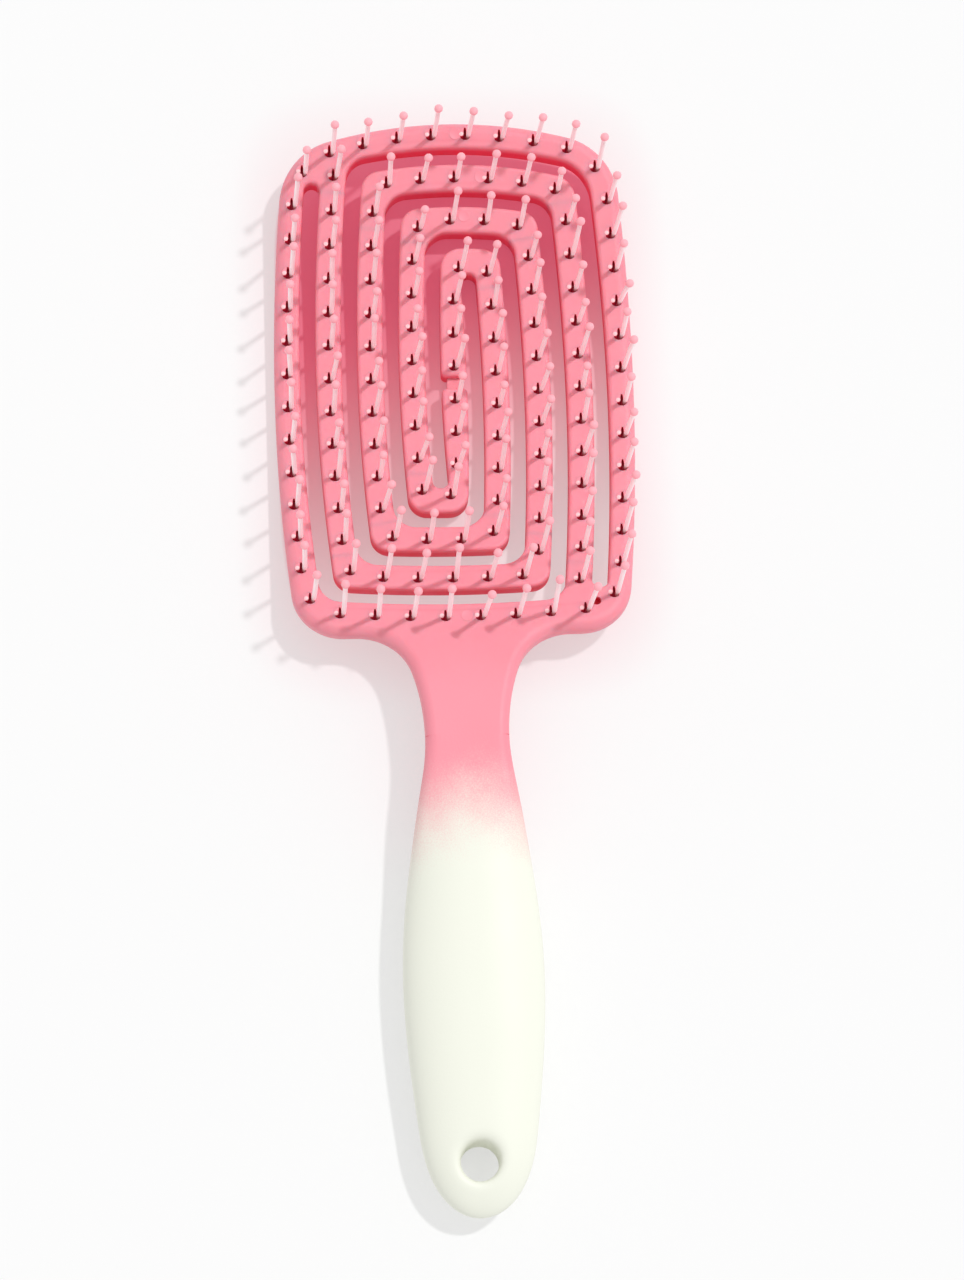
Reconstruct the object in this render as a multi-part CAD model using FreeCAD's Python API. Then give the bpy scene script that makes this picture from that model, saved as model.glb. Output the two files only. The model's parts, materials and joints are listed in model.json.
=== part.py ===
import FreeCAD, Part
import math
import os

from BOPTools import SplitAPI

# Detangling brush. The head is a concave plate cut by two long slots into a frame and two sprung arms
# that coil inwards and meet at a bridge in the middle. Tufts of folded nylon, each with one ball-tipped
# pin and one cut stub, stand in blind holes and are held by flat metal anchors.
# Lengths are in millimetres. The brush lies on its back: +Z is the way the pins point, +Y is the head's
# end and -Y the handle's end.

# Head strips
STRIP_WIDTH = 5.8
SLOT_WIDTH = 3.6
FRAME_HALF_LENGTH = 56.3
HEAD_THICKNESS = 6.0
FACE_RADIUS = 212.0
SIDE_BOW_RADIUS = 450.0
TOP_BOW_RADIUS = 110.0
FOOT_BOW_RADIUS = 300.0
SLOT_OUTER_RADIUS = 5.2
SLOT_INNER_RADIUS = 4.4
SLOT_SHOULDER_RADIUS = 9.3
STRIP_CORNER_RADIUS = 4.5
LEFT_ROOT_LENGTH = 7.2
RIGHT_ROOT_LENGTH = 3.4
SLOT_EDGE_ROUND = 0.8

# Head outline
SHOULDER_RADIUS = 15.0
FOOT_CORNER_RADIUS = 11.5
FOOT_LAND = 1.0
OUTER_ROUND = 2.2

# Bridge between the two arms' ends
BRIDGE_GAP = 2.9
BRIDGE_WIDTH = 3.1
BRIDGE_THICKNESS = 3.2
ARM_END_ROUND = 1.2

# Locating hole beside the foot of the head
LOCATING_HOLE_DIAMETER = 2.0
LOCATING_HOLE_DEPTH = 3.0
LOCATING_HOLE_ACROSS = 29.7
LOCATING_HOLE_ALONG = 53.4

# Neck
NECK_WIDTH = 18.3
NECK_THICKNESS = 9.5
NECK_LENGTH = 24.0
FLARE_RADIUS = 12.8
NECK_SWEEP_RADIUS = 48.0

# Handle
HANDLE_LENGTH = 104.6
GRIP_WIDTH = 30.8
TAIL_LENGTH = 16.8
HANG_HOLE_DIAMETER = 8.4
HANG_HOLE_TO_END = 11.9
HANG_HOLE_ROUND = 1.6

# Handle stations from the neck to the tail, as shares of the handle's length, of the grip's width and of
# the neck's face and back heights above the surface that the brush lies on
STATION_SHARES = (0.12, 0.23, 0.345, 0.49, 0.63, 0.76, 0.84)
WIDTH_SHARES = (0.70, 0.828, 0.938, 1.0, 0.968, 0.883, 0.818)
FACE_SHARES = (1.003, 0.997, 0.986, 0.964, 0.926, 0.87, 0.832)
BACK_SHARES = (0.59, 0.31, 0.11, 0.003, 0.03, 0.12, 0.19)
ROUND_SHARES = (0.45, 0.62, 0.76, 0.86, 0.88, 0.88, 0.88)
TAIL_ROUND_SHARE = 0.88
TAIL_TURN_SHARES = (0.2, 0.4, 0.6, 0.78, 0.92)

# Tufts
HOLE_DIAMETER = 2.8
HOLE_DEPTH = 4.2
FILAMENT_DIAMETER = 1.0
TUFT_CLEARANCE = 0.05
PIN_HEIGHT = 18.0
BALL_DIAMETER = 2.0
STUB_HEIGHT = 0.2
FOLD_DEGREES = 180.0
ANCHOR_THICKNESS = 0.3
ANCHOR_HEIGHT = 1.6
FRAME_TUFTS = 44
ROOT_TUFTS = 1

# Overrun of every cutting tool past the material that it cuts
OVERRUN = 5.0

# The strips of each arm from its root to the bridge, with the tufts on each
LEFT_ARM = (
    ("left_outer_leg", 11),
    ("foot_outer_bar", 7),
    ("right_middle_leg", 9),
    ("top_inner_bar", 4),
    ("left_inner_leg", 7),
    ("lower_core", 5),
)
RIGHT_ARM = (
    ("right_outer_leg", 11),
    ("top_outer_bar", 7),
    ("left_middle_leg", 9),
    ("foot_inner_bar", 4),
    ("right_inner_leg", 7),
    ("upper_core", 5),
)

# Rings that each slot and each arm runs along, one for each side of the head that it passes. Ring 0 is the
# frame, whole rings are strips and half rings are slots
SLOT_RINGS = (0.5, 0.5, 1.5, 1.5, 2.5, 2.5, 3.5)
ARM_RINGS = (1, 1, 2, 2, 3, 3, 4)

# Directions from the head's middle. A path that coils inwards turns from each to the next
TOP = math.pi / 2
LEFT = math.pi
RIGHT = 2 * math.pi

# How far, as a share, an edge may be off and still count as straight up or as level
EDGE_SHARE = 0.001

# Sizes that follow from the ones above
STRIP_PITCH = STRIP_WIDTH + SLOT_WIDTH
FRAME_HALF_WIDTH = ARM_RINGS[-1] * STRIP_PITCH
HEAD_HALF_WIDTH = FRAME_HALF_WIDTH + STRIP_WIDTH / 2
HEAD_TOP = FRAME_HALF_LENGTH + STRIP_WIDTH / 2
HEAD_FOOT = HEAD_TOP + FOOT_LAND
NECK_END = HEAD_FOOT + NECK_LENGTH
FLARE_START = HEAD_FOOT + OUTER_ROUND / 2
TAIL_END = NECK_END + HANDLE_LENGTH - TAIL_LENGTH * (1 - math.sin(TAIL_TURN_SHARES[-1] * math.pi / 2))
HEAD_TO_MIDDLE = (TAIL_END - HEAD_TOP) / 2
FACE_CENTRE_Z = HEAD_THICKNESS + FACE_RADIUS
BACK_RADIUS = FACE_RADIUS + HEAD_THICKNESS
HOLE_RADIUS = HOLE_DIAMETER / 2
FILAMENT_RADIUS = FILAMENT_DIAMETER / 2
LEG_OFFSET = HOLE_RADIUS - FILAMENT_RADIUS - TUFT_CLEARANCE
FOLD_DEPTH = HOLE_DEPTH - LEG_OFFSET - FILAMENT_RADIUS - TUFT_CLEARANCE
UP = FreeCAD.Vector(0, 0, 1)


def vec(x, y, z=0):
    return FreeCAD.Vector(x, y, z)


def arc_edge(x, y, radius, start, end):
    """Edge of an arc in the plan, from one angle to another."""
    angles = (start, (start + end) / 2, end)
    points = [vec(x + radius * math.cos(a), y + radius * math.sin(a)) for a in angles]
    return Part.Arc(*points).toShape()


def line_edge(x1, y1, x2, y2):
    return Part.LineSegment(vec(x1, y1), vec(x2, y2)).toShape()


def near_angle(angle, heading):
    """The same angle, turned by whole turns until it is closest to the heading."""
    turns = round((heading - angle) / (2 * math.pi))
    return angle + turns * 2 * math.pi


def bow(heading, reach):
    """Circle of an outward-bowed strip or slot on one side of the head, at its reach from the middle.

    A side's bow bulges furthest half a pitch from the head's middle, one way on the left and the other on
    the right, so that the two arms are alike.
    """
    side = heading % (2 * math.pi)
    if math.isclose(math.sin(side), 1):
        return 0, reach - TOP_BOW_RADIUS, TOP_BOW_RADIUS, heading
    if math.isclose(math.sin(side), -1):
        return 0, FOOT_BOW_RADIUS - reach, FOOT_BOW_RADIUS, heading
    inward = -round(math.cos(side))
    return inward * (SIDE_BOW_RADIUS - reach), inward * STRIP_PITCH / 2, SIDE_BOW_RADIUS, heading


def frame_bow(heading, reach):
    """Circle of the frame's strip: as for the arms, but even about the head's middle."""
    x, y, radius, heading = bow(heading, reach)
    return x, 0 if radius == SIDE_BOW_RADIUS else y, radius, heading


def corner_centre(first, second, radius, heading):
    """Centre of the arc that rounds the corner between two bowed arcs, from inside both."""
    x1, y1, r1 = first[:3]
    x2, y2, r2 = second[:3]
    span = math.hypot(x2 - x1, y2 - y1)
    ux, uy = (x2 - x1) / span, (y2 - y1) / span
    a, b = r1 - radius, r2 - radius
    along = (a * a - b * b + span * span) / (2 * span)
    off = math.sqrt(a * a - along * along)
    choices = [(x1 + along * ux - s * off * uy, y1 + along * uy + s * off * ux) for s in (-1, 1)]
    return max(choices, key=lambda p: p[0] * math.cos(heading) + p[1] * math.sin(heading))


def arc_chain(circles, corner_radii, start, end):
    """Chain of tangent arcs along the circles, each corner rounded, as (x, y, radius, from, to)."""
    arcs = []
    angle = start
    for first, second, radius in zip(circles, circles[1:], corner_radii):
        heading = (first[3] + second[3]) / 2
        x, y = corner_centre(first, second, radius, heading)
        turn_in = near_angle(math.atan2(y - first[1], x - first[0]), first[3])
        turn_out = near_angle(math.atan2(y - second[1], x - second[0]), second[3])
        arcs.append((first[0], first[1], first[2], angle, turn_in))
        arcs.append((x, y, radius, turn_in, turn_out))
        angle = turn_out
    last = circles[-1]
    arcs.append((last[0], last[1], last[2], angle, end))
    return arcs


def angle_at_height(circle, height):
    """Angle on a left or right bow at a height along the brush."""
    x, y, radius, heading = circle
    rise = math.asin((height - y) / radius)
    return heading + rise * round(math.cos(heading))


def chain_length(arcs):
    return sum(radius * (end - start) for _, _, radius, start, end in arcs)


def place_on(arcs, distance):
    """Point on a chain at a distance from its start, with the direction that points outwards there."""
    for x, y, radius, start, end in arcs:
        span = radius * (end - start)
        if distance <= span:
            break
        distance -= span
    else:
        distance = span
    angle = start + distance / radius
    return x + radius * math.cos(angle), y + radius * math.sin(angle), angle


def ring_reach(heading, ring):
    """Reach of a ring's centre line from the head's middle, on one side."""
    across = abs(round(math.cos(heading))) == 1
    return (FRAME_HALF_WIDTH if across else FRAME_HALF_LENGTH) - ring * STRIP_PITCH


def ring_circles(first_heading, rings):
    """Bows of a path that coils inwards, side by side from its first."""
    headings = [first_heading + i * math.pi / 2 for i in range(len(rings))]
    return [bow(h, ring_reach(h, ring)) for h, ring in zip(headings, rings)]


def slot_edge(circles, offset, corner_radii, start, end):
    """Edges of one side of a slot, at an offset from its centre line."""
    shifted = [(x, y, radius + offset, heading) for x, y, radius, heading in circles]
    return [arc_edge(*arc) for arc in arc_chain(shifted, corner_radii, start, end)]


def slot_face(first_heading):
    """Face of one slot, from its round end beside the frame to its round end beside the core. Both its edges
    are rounded at each corner, so that the slot is widest there."""
    circles = ring_circles(first_heading, SLOT_RINGS)
    side = -round(math.cos(first_heading))
    root = RIGHT_ROOT_LENGTH if first_heading == RIGHT else LEFT_ROOT_LENGTH
    start = angle_at_height(circles[0], side * (ring_reach(TOP, SLOT_RINGS[0]) - root))
    end = angle_at_height(circles[-1], side * ring_reach(TOP, SLOT_RINGS[-1]))
    outer_radii = [SLOT_OUTER_RADIUS] * (len(circles) - 1)
    inner_radii = [SLOT_INNER_RADIUS] * (len(circles) - 1)
    if first_heading == RIGHT:
        outer_radii[0] = SLOT_SHOULDER_RADIUS
        inner_radii[0] = SLOT_SHOULDER_RADIUS - SLOT_WIDTH
    half = SLOT_WIDTH / 2
    edges = slot_edge(circles, half, outer_radii, start, end)
    edges += slot_edge(circles, -half, inner_radii, start, end)
    for (x, y, radius, _), angle, from_angle in ((circles[0], start, start - math.pi), (circles[-1], end, end)):
        tip = (x + radius * math.cos(angle), y + radius * math.sin(angle))
        edges.append(arc_edge(*tip, half, from_angle, from_angle + math.pi))
    return Part.Face(Part.Wire(Part.__sortEdges__(edges)))


def arm_chain(first_heading):
    """Centre line of one arm, from the frame's inner edge to the head's middle."""
    circles = ring_circles(first_heading, ARM_RINGS)
    side = -round(math.cos(first_heading))
    start = angle_at_height(circles[0], side * ring_reach(TOP, SLOT_RINGS[0]))
    end = angle_at_height(circles[-1], 0)
    return arc_chain(circles, [STRIP_CORNER_RADIUS] * (len(ARM_RINGS) - 1), start, end)


def frame_chain():
    """Centre line of the frame's strip, once round from the middle of its top bar."""
    headings = [TOP + i * math.pi / 2 for i in range(5)]
    circles = [frame_bow(h, ring_reach(h, 0)) for h in headings]
    upper = SHOULDER_RADIUS - STRIP_WIDTH / 2
    lower = FOOT_CORNER_RADIUS - STRIP_WIDTH / 2
    return arc_chain(circles, [upper, lower, lower, upper], headings[0], headings[-1])


def outline_half():
    """Edges of the head's and neck's outline on the +X side, from the top to the neck's end."""
    top = (0, HEAD_TOP - TOP_BOW_RADIUS, TOP_BOW_RADIUS, TOP)
    side = (HEAD_HALF_WIDTH - SIDE_BOW_RADIUS, 0, SIDE_BOW_RADIUS, 0)
    sx, sy = corner_centre(top, side, SHOULDER_RADIUS, (top[3] + side[3]) / 2)
    from_top = math.atan2(sy - top[1], sx - top[0])
    to_side = math.atan2(sy - side[1], sx - side[0])
    cy = FOOT_CORNER_RADIUS - HEAD_FOOT
    inner = SIDE_BOW_RADIUS - FOOT_CORNER_RADIUS
    cx = side[0] + math.sqrt(inner ** 2 - cy ** 2)
    side_end = math.atan2(cy - side[1], cx - side[0])
    sweep_x = NECK_WIDTH / 2 + NECK_SWEEP_RADIUS
    flare_y = -HEAD_FOOT - FLARE_RADIUS
    reach = NECK_SWEEP_RADIUS - FLARE_RADIUS
    flare_x = sweep_x - math.sqrt(reach ** 2 - (flare_y + NECK_END) ** 2)
    meet = math.atan2(flare_y + NECK_END, flare_x - sweep_x)
    return [
        arc_edge(0, top[1], TOP_BOW_RADIUS, TOP, from_top),
        arc_edge(sx, sy, SHOULDER_RADIUS, from_top, to_side),
        arc_edge(side[0], side[1], SIDE_BOW_RADIUS, to_side, side_end),
        arc_edge(cx, cy, FOOT_CORNER_RADIUS, side_end, -math.pi / 2),
        line_edge(cx, -HEAD_FOOT, flare_x, -HEAD_FOOT),
        arc_edge(flare_x, flare_y, FLARE_RADIUS, math.pi / 2, meet),
        arc_edge(sweep_x, -NECK_END, NECK_SWEEP_RADIUS, meet, math.pi),
        line_edge(NECK_WIDTH / 2, -NECK_END, 0, -NECK_END),
    ]


def face_height(y):
    """Height of the concave bristle face at a place along the head."""
    return FACE_CENTRE_Z - math.sqrt(FACE_RADIUS ** 2 - y ** 2)


def back_height(y):
    return FACE_CENTRE_Z - math.sqrt(BACK_RADIUS ** 2 - y ** 2)


def neck_face_height():
    """Height at the neck's end, where the face has curved back to level."""
    slope = math.asin(FLARE_START / FACE_RADIUS)
    return face_height(FLARE_START) + (NECK_END - FLARE_START) * math.tan(slope / 2)


def tangent_arc(p, direction, q):
    """Arc that leaves one point in a direction and ends at another, in the plane of both."""
    chord = q - p
    normal = chord - direction * chord.dot(direction)
    normal.normalize()
    radius = chord.dot(chord) / (2 * chord.dot(normal))
    centre = p + normal * radius
    middle = (p + q) * 0.5 - centre
    middle.normalize()
    return Part.Arc(p, centre + middle * radius, q).toShape()


def side_profile():
    """Face of the head and neck seen from the side, between the bristle face and the back."""
    far = HEAD_TOP + OVERRUN
    near = FLARE_START
    top_face, foot_face = vec(0, far, face_height(far)), vec(0, -near, face_height(near))
    top_back, foot_back = vec(0, far, back_height(far)), vec(0, -near, back_height(near))
    neck_face = vec(0, -NECK_END, neck_face_height())
    neck_back = vec(0, -NECK_END, neck_face_height() - NECK_THICKNESS)
    face_slope = math.asin(near / FACE_RADIUS)
    back_slope = math.asin(near / BACK_RADIUS)
    edges = [
        Part.Arc(top_face, vec(0, 0, HEAD_THICKNESS), foot_face).toShape(),
        tangent_arc(foot_face, vec(0, -math.cos(face_slope), math.sin(face_slope)), neck_face),
        Part.LineSegment(neck_face, neck_back).toShape(),
        tangent_arc(foot_back, vec(0, -math.cos(back_slope), math.sin(back_slope)), neck_back),
        Part.Arc(foot_back, vec(0, 0, 0), top_back).toShape(),
        Part.LineSegment(top_back, top_face).toShape(),
    ]
    return Part.Face(Part.Wire(Part.__sortEdges__(edges)))


def is_flat_line(edge, direction):
    """Whether an edge is a straight line along a direction."""
    if not isinstance(edge.Curve, (Part.Line, Part.LineSegment)):
        return False
    return abs(edge.tangentAt(edge.FirstParameter).dot(direction)) > 1 - EDGE_SHARE


def rim_edges(solid):
    """Edges between the plate's outer wall and its face or back, apart from those at the neck's end."""
    tolerance = OUTER_ROUND * EDGE_SHARE
    edges = []
    for edge in solid.Edges:
        box = edge.BoundBox
        if is_flat_line(edge, UP):
            continue
        if box.YLength < tolerance and box.YMax < -HEAD_FOOT - tolerance:
            continue
        edges.append(edge)
    return edges


def through(face):
    """A flat face in the plan, extruded right through the plate's whole height."""
    start = face.copy()
    start.translate(vec(0, 0, -OVERRUN))
    return start.extrude(UP * (FACE_CENTRE_Z + OVERRUN))


def whole_plate():
    """The head and neck with rounded outer edges, before the slots."""
    half = outline_half()
    mirrored = [edge.mirror(vec(0, 0), vec(1, 0)) for edge in half]
    outline = Part.Face(Part.Wire(Part.__sortEdges__(half + mirrored)))
    block = through(outline)
    profile = side_profile()
    width = HEAD_HALF_WIDTH + OVERRUN
    profile.translate(vec(-width, 0))
    slab = profile.extrude(vec(2 * width, 0))
    plate = block.common(slab).Solids[0]
    return plate.makeFillet(OUTER_ROUND, rim_edges(plate))


def cut_slots(plate):
    """The plate with both slots and the gap between the arms' ends cut through, edges rounded."""
    faces = [slot_face(LEFT), slot_face(RIGHT)]
    half_span = STRIP_PITCH / 2
    gap = Part.makePlane(2 * half_span, BRIDGE_GAP, vec(-half_span, -BRIDGE_GAP / 2))
    tools = [through(face) for face in faces + [gap]]
    tool = tools[0].fuse(tools[1:]).removeSplitter()
    cut = plate.cut(tool).Solids[0]
    corners = []
    for edge in cut.Edges:
        middle = edge.CenterOfMass
        if is_flat_line(edge, UP) and math.hypot(middle.x, middle.y) < STRIP_WIDTH:
            corners.append(edge)
    cut = cut.makeFillet(ARM_END_ROUND, corners)
    walls = tool.slice(UP, HEAD_THICKNESS)
    outline = Part.Compound(walls)
    edges = []
    for edge in cut.Edges:
        if is_flat_line(edge, UP):
            continue
        middle = edge.valueAt((edge.FirstParameter + edge.LastParameter) / 2)
        spot = Part.Vertex(vec(middle.x, middle.y, HEAD_THICKNESS))
        if spot.distToShape(outline)[0] < ARM_END_ROUND / 2:
            edges.append(edge)
    return cut.makeFillet(SLOT_EDGE_ROUND, edges)


def seam_face(chain, distance):
    """Flat face across a strip, square to its path, reaching half-way into the slots beside it."""
    x, y, angle = place_on(chain, distance)
    out = vec(math.cos(angle), math.sin(angle)) * (STRIP_PITCH / 2)
    low = vec(x, y, -OVERRUN)
    high = low + UP * (FACE_CENTRE_Z + OVERRUN)
    corners = [low - out, low + out, high + out, high - out, low - out]
    return Part.Face(Part.makePolygon(corners))


def tuft_places(chain, count):
    """Places of evenly spaced tufts along a chain."""
    pitch = chain_length(chain) / count
    return [place_on(chain, (i + 0.5) * pitch)[:2] for i in range(count)]


def arm_layout(arm, first_heading):
    """Tufts of the arm's root, then for each strip its name and tufts, and the seam that starts it."""
    chain = arm_chain(first_heading)
    count = ROOT_TUFTS + sum(tufts for _, tufts in arm)
    places = tuft_places(chain, count)
    pitch = chain_length(chain) / count
    strips = []
    seams = []
    first = ROOT_TUFTS
    for name, tufts in arm:
        strips.append((name, places[first:first + tufts]))
        seams.append(seam_face(chain, first * pitch))
        first += tufts
    return places[:ROOT_TUFTS], strips, seams


def tuft_holes(places):
    """Blind round holes for the tufts, from above the face."""
    holes = []
    for x, y in places:
        floor = face_height(y) - HOLE_DEPTH
        holes.append(Part.makeCylinder(HOLE_RADIUS, HOLE_DEPTH + OVERRUN, vec(x, y, floor)))
    return holes


def pin():
    """One folded filament: a ball-tipped pin on the +X side, the fold, and the cut stub on the -X side."""
    length = FOLD_DEPTH + PIN_HEIGHT
    long_leg = Part.makeCylinder(FILAMENT_RADIUS, length, vec(LEG_OFFSET, 0, -FOLD_DEPTH))
    ball = Part.makeSphere(BALL_DIAMETER / 2, vec(LEG_OFFSET, 0, PIN_HEIGHT))
    stub = Part.makeCylinder(FILAMENT_RADIUS, FOLD_DEPTH + STUB_HEIGHT, vec(-LEG_OFFSET, 0, -FOLD_DEPTH))
    ring = Part.makeCircle(FILAMENT_RADIUS, vec(LEG_OFFSET, 0, -FOLD_DEPTH), UP)
    fold = Part.Face(Part.Wire(ring)).revolve(vec(0, 0, -FOLD_DEPTH), vec(0, 1, 0), FOLD_DEGREES)
    return long_leg.fuse([ball, stub, fold]).removeSplitter().Solids[0]


def anchor():
    """Flat metal anchor that stands in the fold, across the hole along the brush."""
    width = 2 * (HOLE_RADIUS - TUFT_CLEARANCE)
    floor = -FOLD_DEPTH - LEG_OFFSET + FILAMENT_RADIUS + TUFT_CLEARANCE
    return Part.makeBox(ANCHOR_THICKNESS, width, ANCHOR_HEIGHT, vec(-ANCHOR_THICKNESS / 2, -width / 2, floor))


def at_tufts(shape, places):
    """A copy of a tuft's piece in each hole."""
    copies = []
    for x, y in places:
        piece = shape.copy()
        piece.translate(vec(x, y, face_height(y)))
        copies.append(piece)
    return Part.Compound(copies)


def holding(solids, place):
    """The one of the solids that lies under a tuft."""
    x, y = place
    spot = vec(x, y, (face_height(y) + back_height(y)) / 2)
    return min(solids, key=lambda solid: solid.distToShape(Part.Vertex(spot))[0])


def bridge():
    """Recessed tab at the back that joins the two arms' ends."""
    floor = back_height(BRIDGE_GAP / 2) + SLOT_EDGE_ROUND / 2
    corner = vec(-BRIDGE_WIDTH / 2, -BRIDGE_GAP / 2, floor)
    return Part.makeBox(BRIDGE_WIDTH, BRIDGE_GAP, BRIDGE_THICKNESS, corner)


def locating_hole():
    """Blind hole in the face beside the right-hand slot's end."""
    x, y = LOCATING_HOLE_ACROSS, -LOCATING_HOLE_ALONG
    floor = face_height(y) - LOCATING_HOLE_DEPTH
    return Part.makeCylinder(LOCATING_HOLE_DIAMETER / 2, LOCATING_HOLE_DEPTH + OVERRUN, vec(x, y, floor))


def handle_section(y, half_width, face, back, radius):
    """Rounded rectangle across the handle."""
    x, low, high = half_width - radius, back + radius, face - radius
    turn = radius * math.sqrt(0.5)
    rounds = [
        (vec(x, y, face), vec(x + turn, y, high + turn), vec(half_width, y, high)),
        (vec(half_width, y, low), vec(x + turn, y, low - turn), vec(x, y, back)),
        (vec(-x, y, back), vec(-x - turn, y, low - turn), vec(-half_width, y, low)),
        (vec(-half_width, y, high), vec(-x - turn, y, high + turn), vec(-x, y, face)),
    ]
    edges = []
    for i, points in enumerate(rounds):
        edges.append(Part.Arc(*points).toShape())
        following = rounds[(i + 1) % len(rounds)][0]
        edges.append(Part.LineSegment(points[2], following).toShape())
    return Part.Wire(edges)


def handle():
    """Grip lofted from the neck's end to a rounded tail, with the hang hole through the tail."""
    neck_face = neck_face_height()
    neck_back = neck_face - NECK_THICKNESS
    sections = [handle_section(-NECK_END, NECK_WIDTH / 2, neck_face, neck_back, OUTER_ROUND)]
    stations = zip(STATION_SHARES, WIDTH_SHARES, FACE_SHARES, BACK_SHARES, ROUND_SHARES)
    for along, width, face, back, rounding in stations:
        y = -NECK_END - along * HANDLE_LENGTH
        top, low, half = face * neck_face, back * neck_back, width * GRIP_WIDTH / 2
        radius = rounding * (top - low) / 2
        sections.append(handle_section(y, half, top, low, radius))
    tail_y = -NECK_END - HANDLE_LENGTH + TAIL_LENGTH
    middle, rise = (top + low) / 2, (top - low) / 2
    for share in TAIL_TURN_SHARES:
        turn = share * math.pi / 2
        y = tail_y - TAIL_LENGTH * math.sin(turn)
        shrink = math.cos(turn)
        radius = TAIL_ROUND_SHARE * rise * shrink
        sections.append(handle_section(y, half * shrink, middle + rise * shrink, middle - rise * shrink, radius))
    grip = Part.makeLoft(sections, True)
    hole_y = -NECK_END - HANDLE_LENGTH + HANG_HOLE_TO_END
    drill = Part.makeCylinder(HANG_HOLE_DIAMETER / 2, FACE_CENTRE_Z, vec(0, hole_y, -OVERRUN))
    grip = grip.cut(drill).Solids[0]
    rims = []
    for edge in grip.Edges:
        reaches = [math.hypot(v.X, v.Y - hole_y) for v in edge.Vertexes]
        middle = edge.valueAt((edge.FirstParameter + edge.LastParameter) / 2)
        reaches.append(math.hypot(middle.x, middle.y - hole_y))
        if max(reaches) < HANG_HOLE_DIAMETER and not is_flat_line(edge, UP):
            rims.append(edge)
    return grip.makeFillet(HANG_HOLE_ROUND, rims)


def save(shape, name):
    """Writes one sub-part, moved so that the brush is even about the origin along its length."""
    placed = shape.copy()
    placed.translate(vec(0, HEAD_TO_MIDDLE))
    placed.exportStep("parts/" + name + ".step")


def save_tufts(name, places):
    save(at_tufts(pin(), places), name + "_pins")
    save(at_tufts(anchor(), places), name + "_anchors")


def main():
    os.makedirs("parts", exist_ok=True)
    left_root, left_strips, left_seams = arm_layout(LEFT_ARM, LEFT)
    right_root, right_strips, right_seams = arm_layout(RIGHT_ARM, RIGHT)
    frame_tufts = tuft_places(frame_chain(), FRAME_TUFTS) + left_root + right_root
    plate = cut_slots(whole_plate())
    pieces = SplitAPI.slice(plate, left_seams + right_seams, "Split").Solids
    for name, places in left_strips + right_strips:
        strip = holding(pieces, places[len(places) // 2])
        save(strip.cut(tuft_holes(places)), name)
        save_tufts(name, places)
    frame = holding(pieces, frame_tufts[0])
    save(frame.cut(tuft_holes(frame_tufts) + [locating_hole()]), "head_frame")
    save_tufts("head_frame", frame_tufts)
    save(bridge(), "core_bridge")
    save(handle(), "handle")


main()
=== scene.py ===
import json
import math

import bmesh
import bpy
import numpy as np
from bpy.props import FloatProperty, FloatVectorProperty, IntProperty, PointerProperty
from mathutils import Matrix, Vector


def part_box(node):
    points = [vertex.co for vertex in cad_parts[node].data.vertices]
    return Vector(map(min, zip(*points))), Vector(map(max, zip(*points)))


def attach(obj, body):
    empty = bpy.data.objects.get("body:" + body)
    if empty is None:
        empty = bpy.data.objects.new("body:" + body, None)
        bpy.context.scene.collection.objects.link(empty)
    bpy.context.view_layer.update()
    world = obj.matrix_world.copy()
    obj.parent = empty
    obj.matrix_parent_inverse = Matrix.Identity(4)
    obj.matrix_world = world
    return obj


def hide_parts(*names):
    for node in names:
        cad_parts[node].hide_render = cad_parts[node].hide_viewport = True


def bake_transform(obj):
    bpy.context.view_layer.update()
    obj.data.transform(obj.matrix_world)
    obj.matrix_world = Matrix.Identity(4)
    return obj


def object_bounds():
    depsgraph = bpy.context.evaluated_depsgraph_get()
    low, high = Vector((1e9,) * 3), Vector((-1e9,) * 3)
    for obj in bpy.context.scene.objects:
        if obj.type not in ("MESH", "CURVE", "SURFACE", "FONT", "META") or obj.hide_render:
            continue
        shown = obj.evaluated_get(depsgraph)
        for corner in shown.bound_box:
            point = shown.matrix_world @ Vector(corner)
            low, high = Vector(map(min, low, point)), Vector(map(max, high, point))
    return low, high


bl_info = {
    "name": "Detangling brush",
    "version": (1, 0, 0),
    "blender": (4, 5, 0),
    "location": "View3D > Sidebar > Brush",
    "description": "Builds the looks of a vented detangling brush round its frame",
    "category": "Object",
}

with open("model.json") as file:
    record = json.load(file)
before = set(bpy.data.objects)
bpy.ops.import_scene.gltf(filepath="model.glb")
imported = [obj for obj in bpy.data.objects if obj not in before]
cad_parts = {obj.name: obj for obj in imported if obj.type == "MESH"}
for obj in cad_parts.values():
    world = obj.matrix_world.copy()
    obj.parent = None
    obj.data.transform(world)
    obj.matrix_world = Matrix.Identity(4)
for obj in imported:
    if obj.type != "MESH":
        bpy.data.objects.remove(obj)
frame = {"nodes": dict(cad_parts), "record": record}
CAD_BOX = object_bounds()

# The strips of the moulding that keep their shape, and the ones that bend between two bodies
RIGID_STRIPS = (
    "foot_outer_bar", "top_outer_bar", "top_inner_bar", "foot_inner_bar", "lower_core", "upper_core",
)
BENDING_LEGS = (
    "left_outer_leg", "right_outer_leg", "left_middle_leg", "right_middle_leg", "left_inner_leg",
    "right_inner_leg",
)
# The strips that carry tufts
TUFTED = ("head_frame",) + RIGID_STRIPS + BENDING_LEGS
BODY_OF = {node: body for body, nodes in frame["record"]["behaviour"]["bodies"].items() for node in nodes}

# Places closer than this are one point of a mesh, in metres
WELD_SIZE = 1e-6
# Edges whose faces turn by more than this are sharp, in degrees
CREASE_ANGLE = 50.0
NO_CREASE_ANGLE = 180.0
# A surface whose normal rises less than this is a wall
WALL_LEVEL = 0.75
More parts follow.
